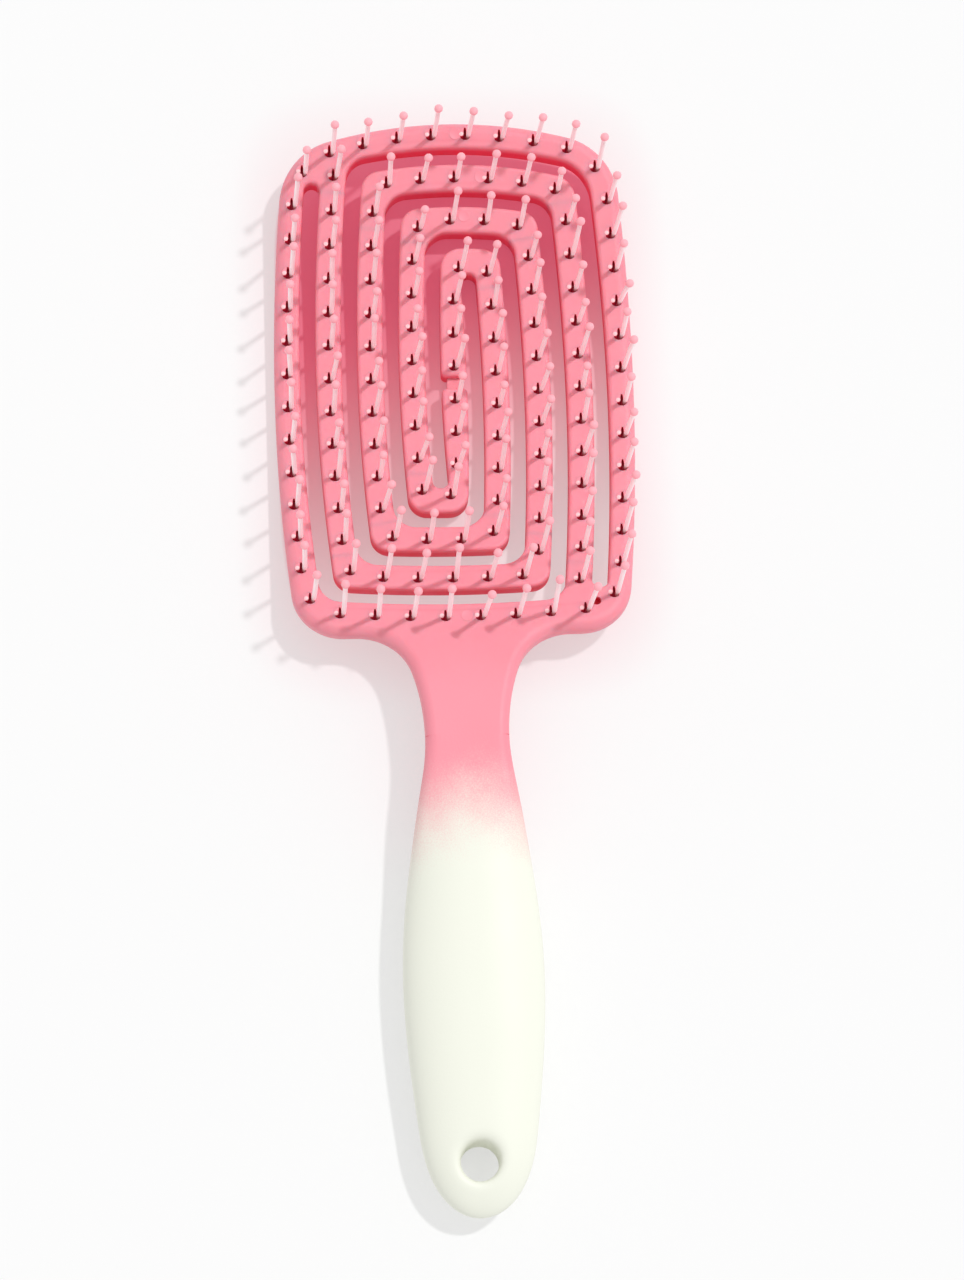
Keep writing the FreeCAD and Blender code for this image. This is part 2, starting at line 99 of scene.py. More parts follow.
# The bristle face is hollow along the brush: its radius, and its lowest height, at the head's middle
FACE_RADIUS = 0.212
FACE_LOW = 0.006
HEAD_MIDDLE = (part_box("core_bridge")[0].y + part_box("core_bridge")[1].y) / 2
# An anchor is a box of this many triangles in the frame
BOX_TRIANGLES = 12
# Points up to this share of a tuft hole's radius and depth count as in it
HOLE_MARGIN_SHARE = 1.02
# The blind locating hole in the frame's face: its place from the head's middle and its radius, in metres.
# Points within this share of its radius, and between these shares of FACE_LOW below the face, get the walls'
# painted shade
LOCATING_HOLE = (0.0297, -0.0534)
LOCATING_HOLE_RADIUS = 0.001
LOCATING_MARGIN_SHARE = 1.05
LOCATING_WALL_SHARES = (0.05, 0.75)
# Share of a leg's length at each end that would stay straight in its bend, which is not set up
LEG_END_SHARE = 0.1
WHITE = (1.0, 1.0, 1.0, 1.0)


class TuftSizes(bpy.types.PropertyGroup):
    """Sizes of the folded filaments, their holes and anchors, and the mould's witness marks."""

    filament_radius: FloatProperty(
        name="Filament radius", description="Half the nylon's thickness", default=0.00055, unit="LENGTH",
        precision=5)
    leg_offset: FloatProperty(
        name="Leg offset", description="From the hole's middle to each leg of the fold", default=0.00082,
        unit="LENGTH", precision=5)
    fold_depth: FloatProperty(
        name="Fold depth", description="From the face down to the fold's centre", default=0.0028,
        unit="LENGTH", precision=5)
    stub_height: FloatProperty(
        name="Stub height", description="How far the cut stub stands out of its hole", default=0.0002,
        unit="LENGTH", precision=5)
    pin_height: FloatProperty(
        name="Pin height", description="From the face up to the ball's centre", default=0.018, unit="LENGTH",
        precision=4)
    ball_radius: FloatProperty(
        name="Ball radius", description="Half the ball tip's width", default=0.001, unit="LENGTH",
        precision=5)
    side_lean: FloatProperty(
        name="Side lean", description="Usual lean of a pin across the brush", default=math.radians(1.2),
        subtype="ANGLE")
    side_set: FloatProperty(
        name="Side set", description="Lean to the right that all pins share", default=math.radians(1.6),
        subtype="ANGLE")
    long_lean: FloatProperty(
        name="Long lean", description="Usual lean of a pin along the brush", default=math.radians(2.2),
        subtype="ANGLE")
    inward_share: FloatProperty(
        name="Inward share", description="Share of the face's slope that the pins follow", default=0.2)
    sides: IntProperty(name="Sides", description="Facets round a filament", default=10)
    seed: IntProperty(name="Seed", description="Start of the random leans", default=7)
    hole_radius: FloatProperty(
        name="Hole radius", description="Half the tuft hole's width", default=0.0014, unit="LENGTH",
        precision=5)
    hole_depth: FloatProperty(
        name="Hole depth", description="From the face to the tuft hole's floor", default=0.0042,
        unit="LENGTH", precision=5)
    slit_width: FloatProperty(
        name="Slit width", description="Width of the slit that is left between the filaments",
        default=0.00054, unit="LENGTH", precision=5)
    mark_radius: FloatProperty(
        name="Mark radius", description="Half the width of a witness mark", default=0.0013, unit="LENGTH",
        precision=5)
    mark_height: FloatProperty(
        name="Mark height", description="Height of a witness mark's rim", default=0.00009, unit="LENGTH",
        precision=5)
    anchor_drop: FloatProperty(
        name="Anchor drop", description="From the face down to the anchor's top", default=0.0015,
        unit="LENGTH", precision=5)
    anchor_height: FloatProperty(
        name="Anchor height", description="Height of the flat anchor", default=0.0016, unit="LENGTH",
        precision=5)
    anchor_width: FloatProperty(
        name="Anchor width", description="Length of the anchor across its hole", default=0.0027,
        unit="LENGTH", precision=5)
    anchor_thickness: FloatProperty(
        name="Anchor thickness", description="Thickness of the anchor's wire", default=0.0003, unit="LENGTH",
        precision=5)


class GripSizes(bpy.types.PropertyGroup):
    """Sizes of the grip and its hang hole."""

    width: FloatProperty(
        name="Width", description="Widest part of the grip", default=0.0308, unit="LENGTH", precision=4)
    neck_corner: FloatProperty(
        name="Neck corner", description="Rounding of the neck's edges where the grip starts", default=0.0022,
        unit="LENGTH", precision=4)
    neck_back_slope: FloatProperty(
        name="Neck back slope", description="Fall of the back where the grip starts", default=0.28)
    power: FloatProperty(
        name="Section power", description="Fullness of the grip's oval section; 2 is an ellipse",
        default=2.5)
    tail_power: FloatProperty(
        name="Tail power", description="Fullness of the tail's end; 2 is an ellipse", default=2.8)
    tail_start: FloatProperty(
        name="Tail start", description="Share of the length at which the tail starts to close", default=0.8)
    hole_rim: FloatProperty(
        name="Hole rim", description="Width of the hang hole's rounded rim", default=0.0027, unit="LENGTH",
        precision=4)
    side_steps: IntProperty(name="Side steps", description="Stations along each side", default=120)
    seam_steps: IntProperty(name="Seam steps", description="Stations across the neck's seam", default=24)
    face_steps: IntProperty(name="Face steps", description="Stations from hole to edge", default=36)
    rim_steps: IntProperty(name="Rim steps", description="Stations round the hole's rim", default=8)


class Finishes(bpy.types.PropertyGroup):
    """Colours of the brush, with the painted shade of its walls and holes, the nylon's painted glow and the
    place of the sprayed fade.
    """

    pink: FloatVectorProperty(
        name="Pink", description="The head's plastic", default=(0.99, 0.318, 0.392), subtype="COLOR", size=3)
    ivory: FloatVectorProperty(
        name="Ivory", description="The grip's plastic", default=(0.93, 0.945, 0.835), subtype="COLOR",
        size=3)
    nylon: FloatVectorProperty(
        name="Nylon", description="The filaments", default=(1.0, 0.86, 0.88), subtype="COLOR", size=3)
    ball: FloatVectorProperty(
        name="Ball", description="The ball tips", default=(1.0, 0.42, 0.48), subtype="COLOR", size=3)
    cut_end: FloatVectorProperty(
        name="Cut end", description="The stubs' cut ends", default=(1.0, 0.58, 0.60), subtype="COLOR",
        size=3)
    # Painted shade: the deep red that stands in for the shade down the slots' walls
    wall: FloatVectorProperty(
        name="Wall", description="The slots' walls", default=(0.98, 0.045, 0.125), subtype="COLOR", size=3)
    # Painted shade: the maroon that stands in for the shade deep in the tuft holes
    hole: FloatVectorProperty(
        name="Hole", description="Depth of the tuft holes", default=(0.75, 0.025, 0.07), subtype="COLOR",
        size=3)
    # Painted glow: the filaments give off a little light of their own colour
    nylon_painted_glow: FloatProperty(
        name="Nylon shine", description="Light that the filaments lead along themselves", default=0.14)
    # The anchors' dark metal, tinted deep red as painted shade of the holes that they lie in
    wire: FloatVectorProperty(
        name="Wire", description="The anchors' metal", default=(0.28, 0.02, 0.04), subtype="COLOR", size=3)
    fade_start: FloatProperty(
        name="Fade start", description="Where along the brush the pink starts to thin out", default=-0.0206,
        unit="LENGTH", precision=4)
    fade_length: FloatProperty(
        name="Fade length", description="Length over which the pink thins out", default=0.0265,
        unit="LENGTH", precision=4)
    fade_edge: FloatProperty(
        name="Fade edge", description="How much further the pink reaches at the sides", default=0.007,
        unit="LENGTH", precision=4)


class StageSetup(bpy.types.PropertyGroup):
    """Camera, lamps and floor."""

    camera_place: FloatVectorProperty(
        name="Camera place", description="Where the camera stands", default=(-0.03863, -0.24285, 0.99562),
        subtype="XYZ", unit="LENGTH", size=3)
    camera_aim: FloatVectorProperty(
        name="Camera aim", description="The point at the picture's middle", default=(0.0043, 0.00462, 0.006),
        subtype="XYZ", unit="LENGTH", size=3)
    camera_roll: FloatProperty(
        name="Camera roll", description="Turn of the camera about its own line of sight",
        default=math.radians(-1.89), subtype="ANGLE")
    lens: FloatProperty(name="Lens", description="Focal length in millimetres", default=129.375)
    key_direction: FloatVectorProperty(
        name="Key direction", description="The way that the key light comes from",
        default=(0.38, 0.23, 0.84), subtype="DIRECTION", size=3)
    key_strength: FloatProperty(name="Key strength", description="Strength of the key light", default=1.32)
    key_angle: FloatProperty(
        name="Key angle", description="Apparent width of the key light", default=math.radians(3.0),
        subtype="ANGLE")
    fill_strength: FloatProperty(name="Fill strength", description="Strength of the even fill", default=0.65)
    floor_size: FloatProperty(
        name="Floor size", description="Width of the floor", default=6.0, unit="LENGTH")
    floor_gap: FloatProperty(
        name="Floor gap", description="From the brush's lowest point to the floor", default=0.0002,
        unit="LENGTH", precision=5)
    floor_glow: FloatProperty(
        name="Floor glow", description="Share of plain white in what the camera sees of the floor",
        default=0.5)
    floor_colour: FloatVectorProperty(
        name="Floor colour", description="The open floor", default=(0.93, 0.93, 0.93), subtype="COLOR",
        size=3)
    # Painted light: the pink base colour of the floor under the head, in place of the head's pink light and
    # shade on it
    floor_painted_pink: FloatVectorProperty(
        name="Floor pink", description="The floor where the head's colour shines through",
        default=(0.95, 0.42, 0.52), subtype="COLOR", size=3)
    # Painted light: the pink glow that the camera sees on the floor under the head
    floor_painted_glow: FloatVectorProperty(
        name="Floor shine", description="What the camera sees of the head's colour on the floor",
        default=(0.78, 0.09, 0.17), subtype="COLOR", size=3)


def grid_faces(rows, columns, close_rows, close_columns):
    """Quads of a grid of points: row i and column j meet the next row and the next column, which is the
    first again where that direction is closed."""
    i = np.arange(rows if close_rows else rows - 1)[:, None]
    j = np.arange(columns if close_columns else columns - 1)[None, :]
    below, beside = (i + 1) % rows, (j + 1) % columns
    corners = (i * columns + j, i * columns + beside, below * columns + beside, below * columns + j)
    return np.stack([np.broadcast_to(c, (i.size, j.size)) for c in corners], axis=-1).reshape(-1, 4)


def repeated_faces(faces, points_each, count):
    """The faces of one shape, repeated for each of its copies, whose points follow one another."""
    return (faces[None] + (np.arange(count) * points_each)[:, None, None]).reshape(-1, faces.shape[1])


def facing_out(points, faces):
    """The faces, turned round if the closed mesh that they make is inside out. The sign of its volume, the
    sum of the pyramids from the origin to every face, tells."""
    a, b, c = (points[faces[:, k]] for k in (0, 1, 2))
    d = points[faces[:, -1]]
    volume = np.einsum("ij,ij->", a, np.cross(b, c)) + np.einsum("ij,ij->", a, np.cross(c, d))
    return faces if volume > 0 else faces[:, ::-1]


def new_piece(name, points, faces, material, sharp_degrees=CREASE_ANGLE, weld=True):
    """An object of a mesh with its places in its mesh, smooth but for edges sharper than an angle."""
    mesh = bpy.data.meshes.new(name)
    mesh.from_pydata(points.tolist(), [], faces.tolist())
    if weld:
        shell = bmesh.new()
        shell.from_mesh(mesh)
        bmesh.ops.remove_doubles(shell, verts=shell.verts, dist=WELD_SIZE)
        shell.to_mesh(mesh)
        shell.free()
    mesh.shade_smooth()
    mesh.set_sharp_from_angle(angle=math.radians(sharp_degrees))
    mesh.materials.append(material)
    piece = bpy.data.objects.new(name, mesh)
    bpy.context.scene.collection.objects.link(piece)
    return piece


def point_values(piece, name, values):
    """Stores one number for each point of a piece."""
    attribute = piece.data.attributes.new(name, "FLOAT", "POINT")
    attribute.data.foreach_set("value", np.ascontiguousarray(values, np.float32))


def mesh_arrays(mesh):
    """Places of a mesh's points, the point at each corner of its triangles, and the normal there."""
    places = np.empty(len(mesh.vertices) * 3, np.float32)
    mesh.vertices.foreach_get("co", places)
    corners = np.empty(len(mesh.loops), np.int32)
    mesh.loops.foreach_get("vertex_index", corners)
    normals = np.empty(len(mesh.loops) * 3, np.float32)
    mesh.corner_normals.foreach_get("vector", normals)
    return places.reshape(-1, 3), corners, normals.reshape(-1, 3)


def face_slope(y):
    """Rise of the bristle face along the brush: the slope of a circle's arc."""
    run = y - HEAD_MIDDLE
    return run / np.sqrt(FACE_RADIUS ** 2 - run ** 2)


def face_height(y):
    """Height of the bristle face: the lower half of a circle over the head's middle."""
    return FACE_LOW + FACE_RADIUS - np.sqrt(FACE_RADIUS ** 2 - (y - HEAD_MIDDLE) ** 2)


def tuft_places(strip, tufts):
    """Middle of each tuft's hole at the face: above the middle of its anchor's box."""
    places, corners, _ = mesh_arrays(frame["nodes"][strip + "_anchors"].data)
    boxes = places[corners].reshape(-1, BOX_TRIANGLES * 3, 3).astype(float)
    middles = (boxes.min(axis=1) + boxes.max(axis=1)) / 2
    middles[:, 2] = boxes[:, :, 2].max(axis=1) + tufts.anchor_drop
    return middles


def wall_shade_shares(node, points, normals):
    """How much painted shade each point of a strip gets: how far down a slot's wall it lies, as a share of
    the wall. A wall's normal is near level. The frame's own outer side, which faces away from the head's
    middle, is no wall, nor is any side of the low bridge. The locating hole gets the painted shade of a
    wall's foot."""
    inward = (points[:, 0] * normals[:, 0] + (points[:, 1] - HEAD_MIDDLE) * normals[:, 1]) < 0
    painted = inward if node == "head_frame" else node != "core_bridge"
    down = (face_height(points[:, 1]) - points[:, 2]) / FACE_LOW
    wall = np.where((np.abs(normals[:, 2]) < WALL_LEVEL) & painted, np.clip(down, 0, 1), 0)
    if node == "head_frame":
        across = np.hypot(points[:, 0] - LOCATING_HOLE[0], points[:, 1] - HEAD_MIDDLE - LOCATING_HOLE[1])
        sunk = (down > LOCATING_WALL_SHARES[0]) & (down < LOCATING_WALL_SHARES[1])
        wall = np.where(sunk & (across < LOCATING_HOLE_RADIUS * LOCATING_MARGIN_SHARE), 1, wall)
    return wall


def hole_shares(strip, points, tufts):
    """How deep each point of a strip lies in the nearest tuft's hole, as a share of the hole's depth, and
    whether it lies in one."""
    holes = tuft_places(strip, tufts)
    across = np.linalg.norm(points[:, None, :2] - holes[None, :, :2], axis=2)
    depth = (holes[across.argmin(axis=1), 2] - points[:, 2]) / tufts.hole_depth
    inside = (across.min(axis=1) < tufts.hole_radius * HOLE_MARGIN_SHARE) & (depth < HOLE_MARGIN_SHARE)
    return np.where(inside, np.clip(depth, 0, 1), 0), inside


def moulded_copy(node, material, tufts):
    """A welded copy of a strip of the moulding with the true surface's normals. Each of its points knows how
    far down a slot's wall or a tuft's hole it lies, which sets the painted shade there."""
    places, corners, normals = mesh_arrays(frame["nodes"][node].data)
    keys = np.round(places / WELD_SIZE).astype(np.int64)
    _, first, where = np.unique(keys, axis=0, return_index=True, return_inverse=True)
    corners = where.reshape(-1)[corners]
    faces = corners.reshape(-1, 3)
    whole = (faces != np.roll(faces, 1, axis=1)).all(axis=1)
    points = places[first]
    piece = new_piece(node + "_moulding", points, faces[whole], material, NO_CREASE_ANGLE, weld=False)
    piece.data.normals_split_custom_set(normals.reshape(-1, 3, 3)[whole].reshape(-1, 3).tolist())
    mean = np.zeros((len(points), 3))
    np.add.at(mean, corners, normals)
    mean /= np.maximum(np.linalg.norm(mean, axis=1, keepdims=True), WELD_SIZE)
    wall = wall_shade_shares(node, points, mean)
    if node + "_anchors" in frame["nodes"]:
        depth, inside = hole_shares(node, points, tufts)
        point_values(piece, "hole_depth", depth)
        wall = np.where(inside, 0, wall)
    point_values(piece, "slot_wall_shade", wall)
    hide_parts(node)
    return piece


def bend_with_leg(piece, leg):
    """Works out the ends of a leg's bend, each from its joint's parent body to the child: left legs run from
    the head's end to the handle's, right legs the other way. The ends are not used: the piece only has its
    place baked into its mesh."""
    low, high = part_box(leg)
    margin = (high.y - low.y) * LEG_END_SHARE
    ends = [low.y + margin, high.y - margin]
    if leg.startswith("left"):
        ends.reverse()
    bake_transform(piece)


def settle(piece, strip):
    """Lets a piece ride on its strip's body; a piece on a leg only has its place baked into its mesh."""
    if strip in BENDING_LEGS:
        bend_with_leg(piece, strip)
    else:
        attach(piece, BODY_OF[strip])


def set_inputs(tree, node, inputs):
    """Links a shader node's sockets, or sets those that are given a plain value."""
    for name, value in inputs.items():
        if isinstance(value, bpy.types.NodeSocket):
            tree.links.new(value, node.inputs[name])
        else:
            node.inputs[name].default_value = value


def add(tree, kind, inputs=None, **settings):
    """A shader node with its settings made and its sockets set or linked."""
    made = tree.nodes.new("ShaderNode" + kind)
    for name, value in settings.items():
        setattr(made, name, value)
    set_inputs(tree, made, inputs or {})
    return made


def math_node(tree, operation, first, second=0.0, third=0.0, clamp=False):
    inputs = {0: first, 1: second, 2: third}
    return add(tree, "Math", inputs, operation=operation, use_clamp=clamp).outputs[0]


def colour_mix(tree, share, first, second):
    inputs = {0: share, 6: first, 7: second}
    return add(tree, "Mix", inputs, data_type="RGBA").outputs[2]


def smooth_range(tree, value, low, high):
    """0 below the low value, 1 above the high one, and eased between."""
    inputs = {"Value": value, "From Min": low, "From Max": high}
    return add(tree, "MapRange", inputs, interpolation_type="SMOOTHSTEP").outputs["Result"]


def noise(tree, place, scale, detail=2.0):
    return add(tree, "TexNoise", {"Vector": place, "Scale": scale, "Detail": detail}).outputs["Fac"]


def stored_value(tree, name):
    """The number that each point of the piece carries under a name."""
    return add(tree, "Attribute", attribute_name=name).outputs["Fac"]


def rgba(colour):
    return (*colour, 1.0)


def new_group(name, inputs, outputs):
    """An empty shader node group with named sockets, and its input and output nodes."""
    group = bpy.data.node_groups.new(name, "ShaderNodeTree")
    for label, kind, default in inputs:
        socket = group.interface.new_socket(label, in_out="INPUT", socket_type="NodeSocket" + kind)
        if default is not None:
            socket.default_value = default
    for label, kind in outputs:
        group.interface.new_socket(label, in_out="OUTPUT", socket_type="NodeSocket" + kind)
    return group, group.nodes.new("NodeGroupInput").outputs, group.nodes.new("NodeGroupOutput").inputs


def place_group(tree, group, inputs):
    """A shader node group in a material, with its sockets set or linked."""
    made = tree.nodes.new("ShaderNodeGroup")
    made.node_tree = group
    set_inputs(tree, made, inputs)
    return made.outputs


# The moulded skin's slow waves are this share as fine as its grain, and its bumps this deep, in metres
WAVE_SHARE = 0.06
PEEL_DEPTH = 0.00002


def moulded_skin_group():
    """Skin of moulded plastic: a fine orange peel over a slow waviness, and an uneven gloss."""
    name = "Moulded skin"
    if name in bpy.data.node_groups:
        return bpy.data.node_groups[name]
    group, given, out = new_group(
        name,
        [("Place", "Vector", None), ("Grain", "Float", 1800.0), ("Gloss", "Float", 0.4),
         ("Unevenness", "Float", 0.1)],
        [("Height", "Float"), ("Roughness", "Float")])
    group.links.new(noise(group, given["Place"], given["Grain"]), out["Height"])
    slow = math_node(group, "MULTIPLY", given["Grain"], WAVE_SHARE)
    shift = math_node(group, "SUBTRACT", noise(group, given["Place"], slow, 3.0), 0.5)
    rough = math_node(group, "MULTIPLY_ADD", shift, given["Unevenness"], given["Gloss"])
    group.links.new(rough, out["Roughness"])
    return group


# The sprayed fade's edge wanders with noise of this scale, by this share of the fade's length
WOBBLE_SCALE = 110.0
WOBBLE_SHARE = 0.35


def sprayed_fade_group():
    """Spray that thins out along the brush: a ramp along Y, bent down at the sides, broken into specks."""
    group, given, out = new_group(
        "Sprayed fade",
        [("Place", "Vector", None), ("Start", "Float", 0.0), ("Length", "Float", 0.02),
         ("Edge", "Float", 0.01), ("Half Width", "Float", 0.015), ("Speck", "Float", 3600.0),
         ("Speckle", "Float", 0.4)],
        [("Mask", "Float")])
    axes = add(group, "SeparateXYZ", {0: given["Place"]}).outputs
    side = math_node(group, "DIVIDE", axes["X"], given["Half Width"])
    side = math_node(group, "MULTIPLY", side, side)
    drop = math_node(group, "MULTIPLY_ADD", side, given["Edge"], axes["Y"])
    run = math_node(group, "SUBTRACT", given["Start"], drop)
    along = math_node(group, "DIVIDE", run, given["Length"])
    wobble = math_node(group, "SUBTRACT", noise(group, given["Place"], WOBBLE_SCALE), 0.5)
    along = math_node(group, "MULTIPLY_ADD", wobble, WOBBLE_SHARE, along)
    fine = math_node(group, "SUBTRACT", noise(group, given["Place"], given["Speck"], 1.0), 0.5)
    along = math_node(group, "MULTIPLY_ADD", fine, given["Speckle"], along)
    group.links.new(smooth_range(group, along, 0.0, 1.0), out["Mask"])
    return group


def new_material(name):
    """A material with an empty tree, its Principled BSDF and the place of each point on the object."""
    material = bpy.data.materials.new(name)
    material.use_nodes = True
    tree = material.node_tree
    tree.nodes.clear()
    shader = add(tree, "BsdfPrincipled")
    add(tree, "OutputMaterial", {"Surface": shader.outputs[0]})
    place = add(tree, "TexCoord").outputs["Object"]
    return material, tree, shader, place


def set_skin(tree, shader, place, values):
    """Gives a material the moulded skin's roughness and fine bumps."""
    skin = place_group(tree, moulded_skin_group(), {"Place": place, **values})
    tree.links.new(skin["Roughness"], shader.inputs["Roughness"])
    bump = add(tree, "Bump", {"Height": skin["Height"], "Distance": PEEL_DEPTH, "Strength": 1.0})
    tree.links.new(bump.outputs[0], shader.inputs["Normal"])


# The moulding's plastic: the clouds in its pink, and the depths, as shares, at which the painted shade of
# walls and holes comes in. Light scatters in it from the neck on, and fades in between these shares of the
# seam's Y
CLOUD_SCALE = 38.0
CLOUD_RANGE = (0.35, 0.7)
CLOUD_SHARE = 0.07
WALL_RANGE_SHARES = (0.04, 0.5)
WALL_SHADE_SHARE = 0.92
HOLE_RANGE_SHARES = (0.03, 0.3)
SATIN_SKIN = {"Gloss": 0.52, "Unevenness": 0.16}
GLOW_RANGE_SHARES = (0.6, -0.4)
GLOW_SHARE = 0.5
GLOW_SCALE = 0.0022
GLOW_RADIUS = (1.0, 0.08, 0.12)


def sprayed_plastic():
    """Satin plastic of the whole moulding: pink, sprayed away to ivory on the grip, with painted shade of
    deeper red down the slots' walls and of maroon down the tuft holes."""
    name = "sprayed_plastic"
    if name in bpy.data.materials:
        return bpy.data.materials[name]
    finish, grip = bpy.context.scene.brush_finishes, bpy.context.scene.brush_grip
    material, tree, shader, place = new_material(name)
    fade = place_group(tree, sprayed_fade_group(), {
        "Place": place, "Start": finish.fade_start, "Length": finish.fade_length, "Edge": finish.fade_edge,
        "Half Width": grip.width / 2})
    clouds = smooth_range(tree, noise(tree, place, CLOUD_SCALE), *CLOUD_RANGE)
    deeper = rgba([c * c for c in finish.pink])
    pink = colour_mix(tree, math_node(tree, "MULTIPLY", clouds, CLOUD_SHARE), rgba(finish.pink), deeper)
    # Painted shade: deep red down the slots' walls
    wall = smooth_range(tree, stored_value(tree, "slot_wall_shade"), *WALL_RANGE_SHARES)
    pink = colour_mix(tree, math_node(tree, "MULTIPLY", wall, WALL_SHADE_SHARE), pink, rgba(finish.wall))
    colour = colour_mix(tree, fade["Mask"], pink, rgba(finish.ivory))
    # Painted shade: maroon down the tuft holes
    depth = smooth_range(tree, stored_value(tree, "hole_depth"), *HOLE_RANGE_SHARES)
    colour = colour_mix(tree, depth, colour, rgba(finish.hole))
    tree.links.new(colour, shader.inputs["Base Color"])
    set_skin(tree, shader, place, SATIN_SKIN)
    along = add(tree, "SeparateXYZ", {0: place}).outputs["Y"]
    start, end = (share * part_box("handle")[1].y for share in GLOW_RANGE_SHARES)
    thick = math_node(tree, "SUBTRACT", 1.0, stored_value(tree, "thin"))
    glow = math_node(tree, "MULTIPLY", smooth_range(tree, along, start, end), thick)
    tree.links.new(math_node(tree, "MULTIPLY", glow, GLOW_SHARE), shader.inputs["Subsurface Weight"])
    shader.inputs["Subsurface Radius"].default_value = GLOW_RADIUS
    shader.inputs["Subsurface Scale"].default_value = GLOW_SCALE
    return material


# The nylon's skin: a finer grain than the moulding's, and glossier
NYLON_SKIN = {"Grain": 2600.0, "Gloss": 0.38, "Unevenness": 0.2}


def pin_nylon():
    """Pale nylon with a painted glow of its own colour in place of the light that it leads along itself,
    with deeper ball tips and cut ends, and painted shade on the folds down in the holes."""
    finish = bpy.context.scene.brush_finishes
    material, tree, shader, place = new_material("pin_nylon")
    colour = rgba(finish.nylon)
    # The folds down in the holes take the holes' painted shade
    for name, paint in (("ball", finish.ball), ("cut_end", finish.cut_end), ("buried", finish.hole)):
        colour = colour_mix(tree, stored_value(tree, name), colour, rgba(paint))
    tree.links.new(colour, shader.inputs["Base Color"])
    # Painted glow: the nylon gives off a little light of its own colour, in place of the light that it leads
    # along itself
    tree.links.new(colour, shader.inputs["Emission Color"])
    shader.inputs["Emission Strength"].default_value = finish.nylon_painted_glow
    set_skin(tree, shader, place, NYLON_SKIN)
    return material


# The wire's drawn streaks: their scale and how they are stretched, how much paler than the wire they are,
# and the wire's least roughness and what the streaks add to it
STREAK_SCALE = 9000.0
STREAK_STRETCH = (1.0, 0.1, 1.0)
STREAK_PALENESS = 2.2
WIRE_ROUGHNESS = 0.3
STREAK_ROUGHNESS = 0.2


def anchor_wire():
    """Dark flat wire with drawn streaks along it."""
    finish = bpy.context.scene.brush_finishes
    material, tree, shader, place = new_material("anchor_wire")
    drawn = add(tree, "Mapping", {"Vector": place, "Scale": STREAK_STRETCH}).outputs[0]
    streak = noise(tree, drawn, STREAK_SCALE)
    pale = rgba([c * STREAK_PALENESS for c in finish.wire])
    tree.links.new(colour_mix(tree, streak, rgba(finish.wire), pale), shader.inputs["Base Color"])
    shader.inputs["Metallic"].default_value = 1.0
    rough = math_node(tree, "MULTIPLY_ADD", streak, STREAK_ROUGHNESS, WIRE_ROUGHNESS)
    tree.links.new(rough, shader.inputs["Roughness"])
    return material


# Stations of a folded filament: the stub's heights from its cut end down, as shares of how far it stands
# out, and its radii there and at the fold, as shares of the filament's. The first few make up the cut end
STUB_HEIGHT_SHARES = (1.0, 0.9, 0.4, -1.0)
STUB_RADIUS_SHARES = (0.0, 0.62, 0.92, 0.95, 1.0)
CUT_STATIONS = 3
FOLD_STATIONS = 7
PIN_STATIONS = 5
BALL_STATIONS = 7
# What each station of a filament belongs to
CUT_END, BURIED, PIN, BALL = range(4)
# A pin's usual bow, as a share of its usual lean
BOW_SHARE = 0.25


def filament_stations(tufts):
    """Stations along one folded filament, from the stub's cut end round the fold to the ball's pole. The
    stub and the pin are straight, the cut end is rounded, the fold is a half circle and the ball is a
    sphere on the pin's end. Gives across, height, the outward direction's two parts, radius, and whether
    it is cut end, buried fold, pin or ball."""
    radius, offset, deep = tufts.filament_radius, tufts.leg_offset, tufts.fold_depth
    stub_z = np.append(np.array(STUB_HEIGHT_SHARES) * tufts.stub_height, -deep)
    turn = np.linspace(math.pi, 2 * math.pi, FOLD_STATIONS)[1:-1]
    neck = math.asin(radius / tufts.ball_radius)
    ball_foot = tufts.pin_height - tufts.ball_radius * math.cos(neck)
    pin_z = np.append(-deep, np.linspace(0.0, ball_foot, PIN_STATIONS))
    polar = np.linspace(neck, math.pi, BALL_STATIONS)[1:]
    before, after = stub_z.size, pin_z.size + polar.size
    across = np.concatenate([np.full(before, -offset), offset * np.cos(turn), np.full(after, offset)])
    height = np.concatenate([
        stub_z, -deep + offset * np.sin(turn), pin_z, tufts.pin_height - tufts.ball_radius * np.cos(polar)])
    out_x = np.concatenate([np.full(before, -1.0), np.cos(turn), np.full(after, 1.0)])
    out_z = np.concatenate([np.zeros(before), np.sin(turn), np.zeros(after)])
    radii = np.concatenate([
        np.array(STUB_RADIUS_SHARES) * radius, np.full(turn.size + pin_z.size, radius),
        tufts.ball_radius * np.sin(polar)])
    buried = before - CUT_STATIONS + turn.size + 1
    kind = np.repeat([CUT_END, BURIED, PIN, BALL], [CUT_STATIONS, buried, pin_z.size - 1, polar.size])
    return across, height, out_x, out_z, radii, kind


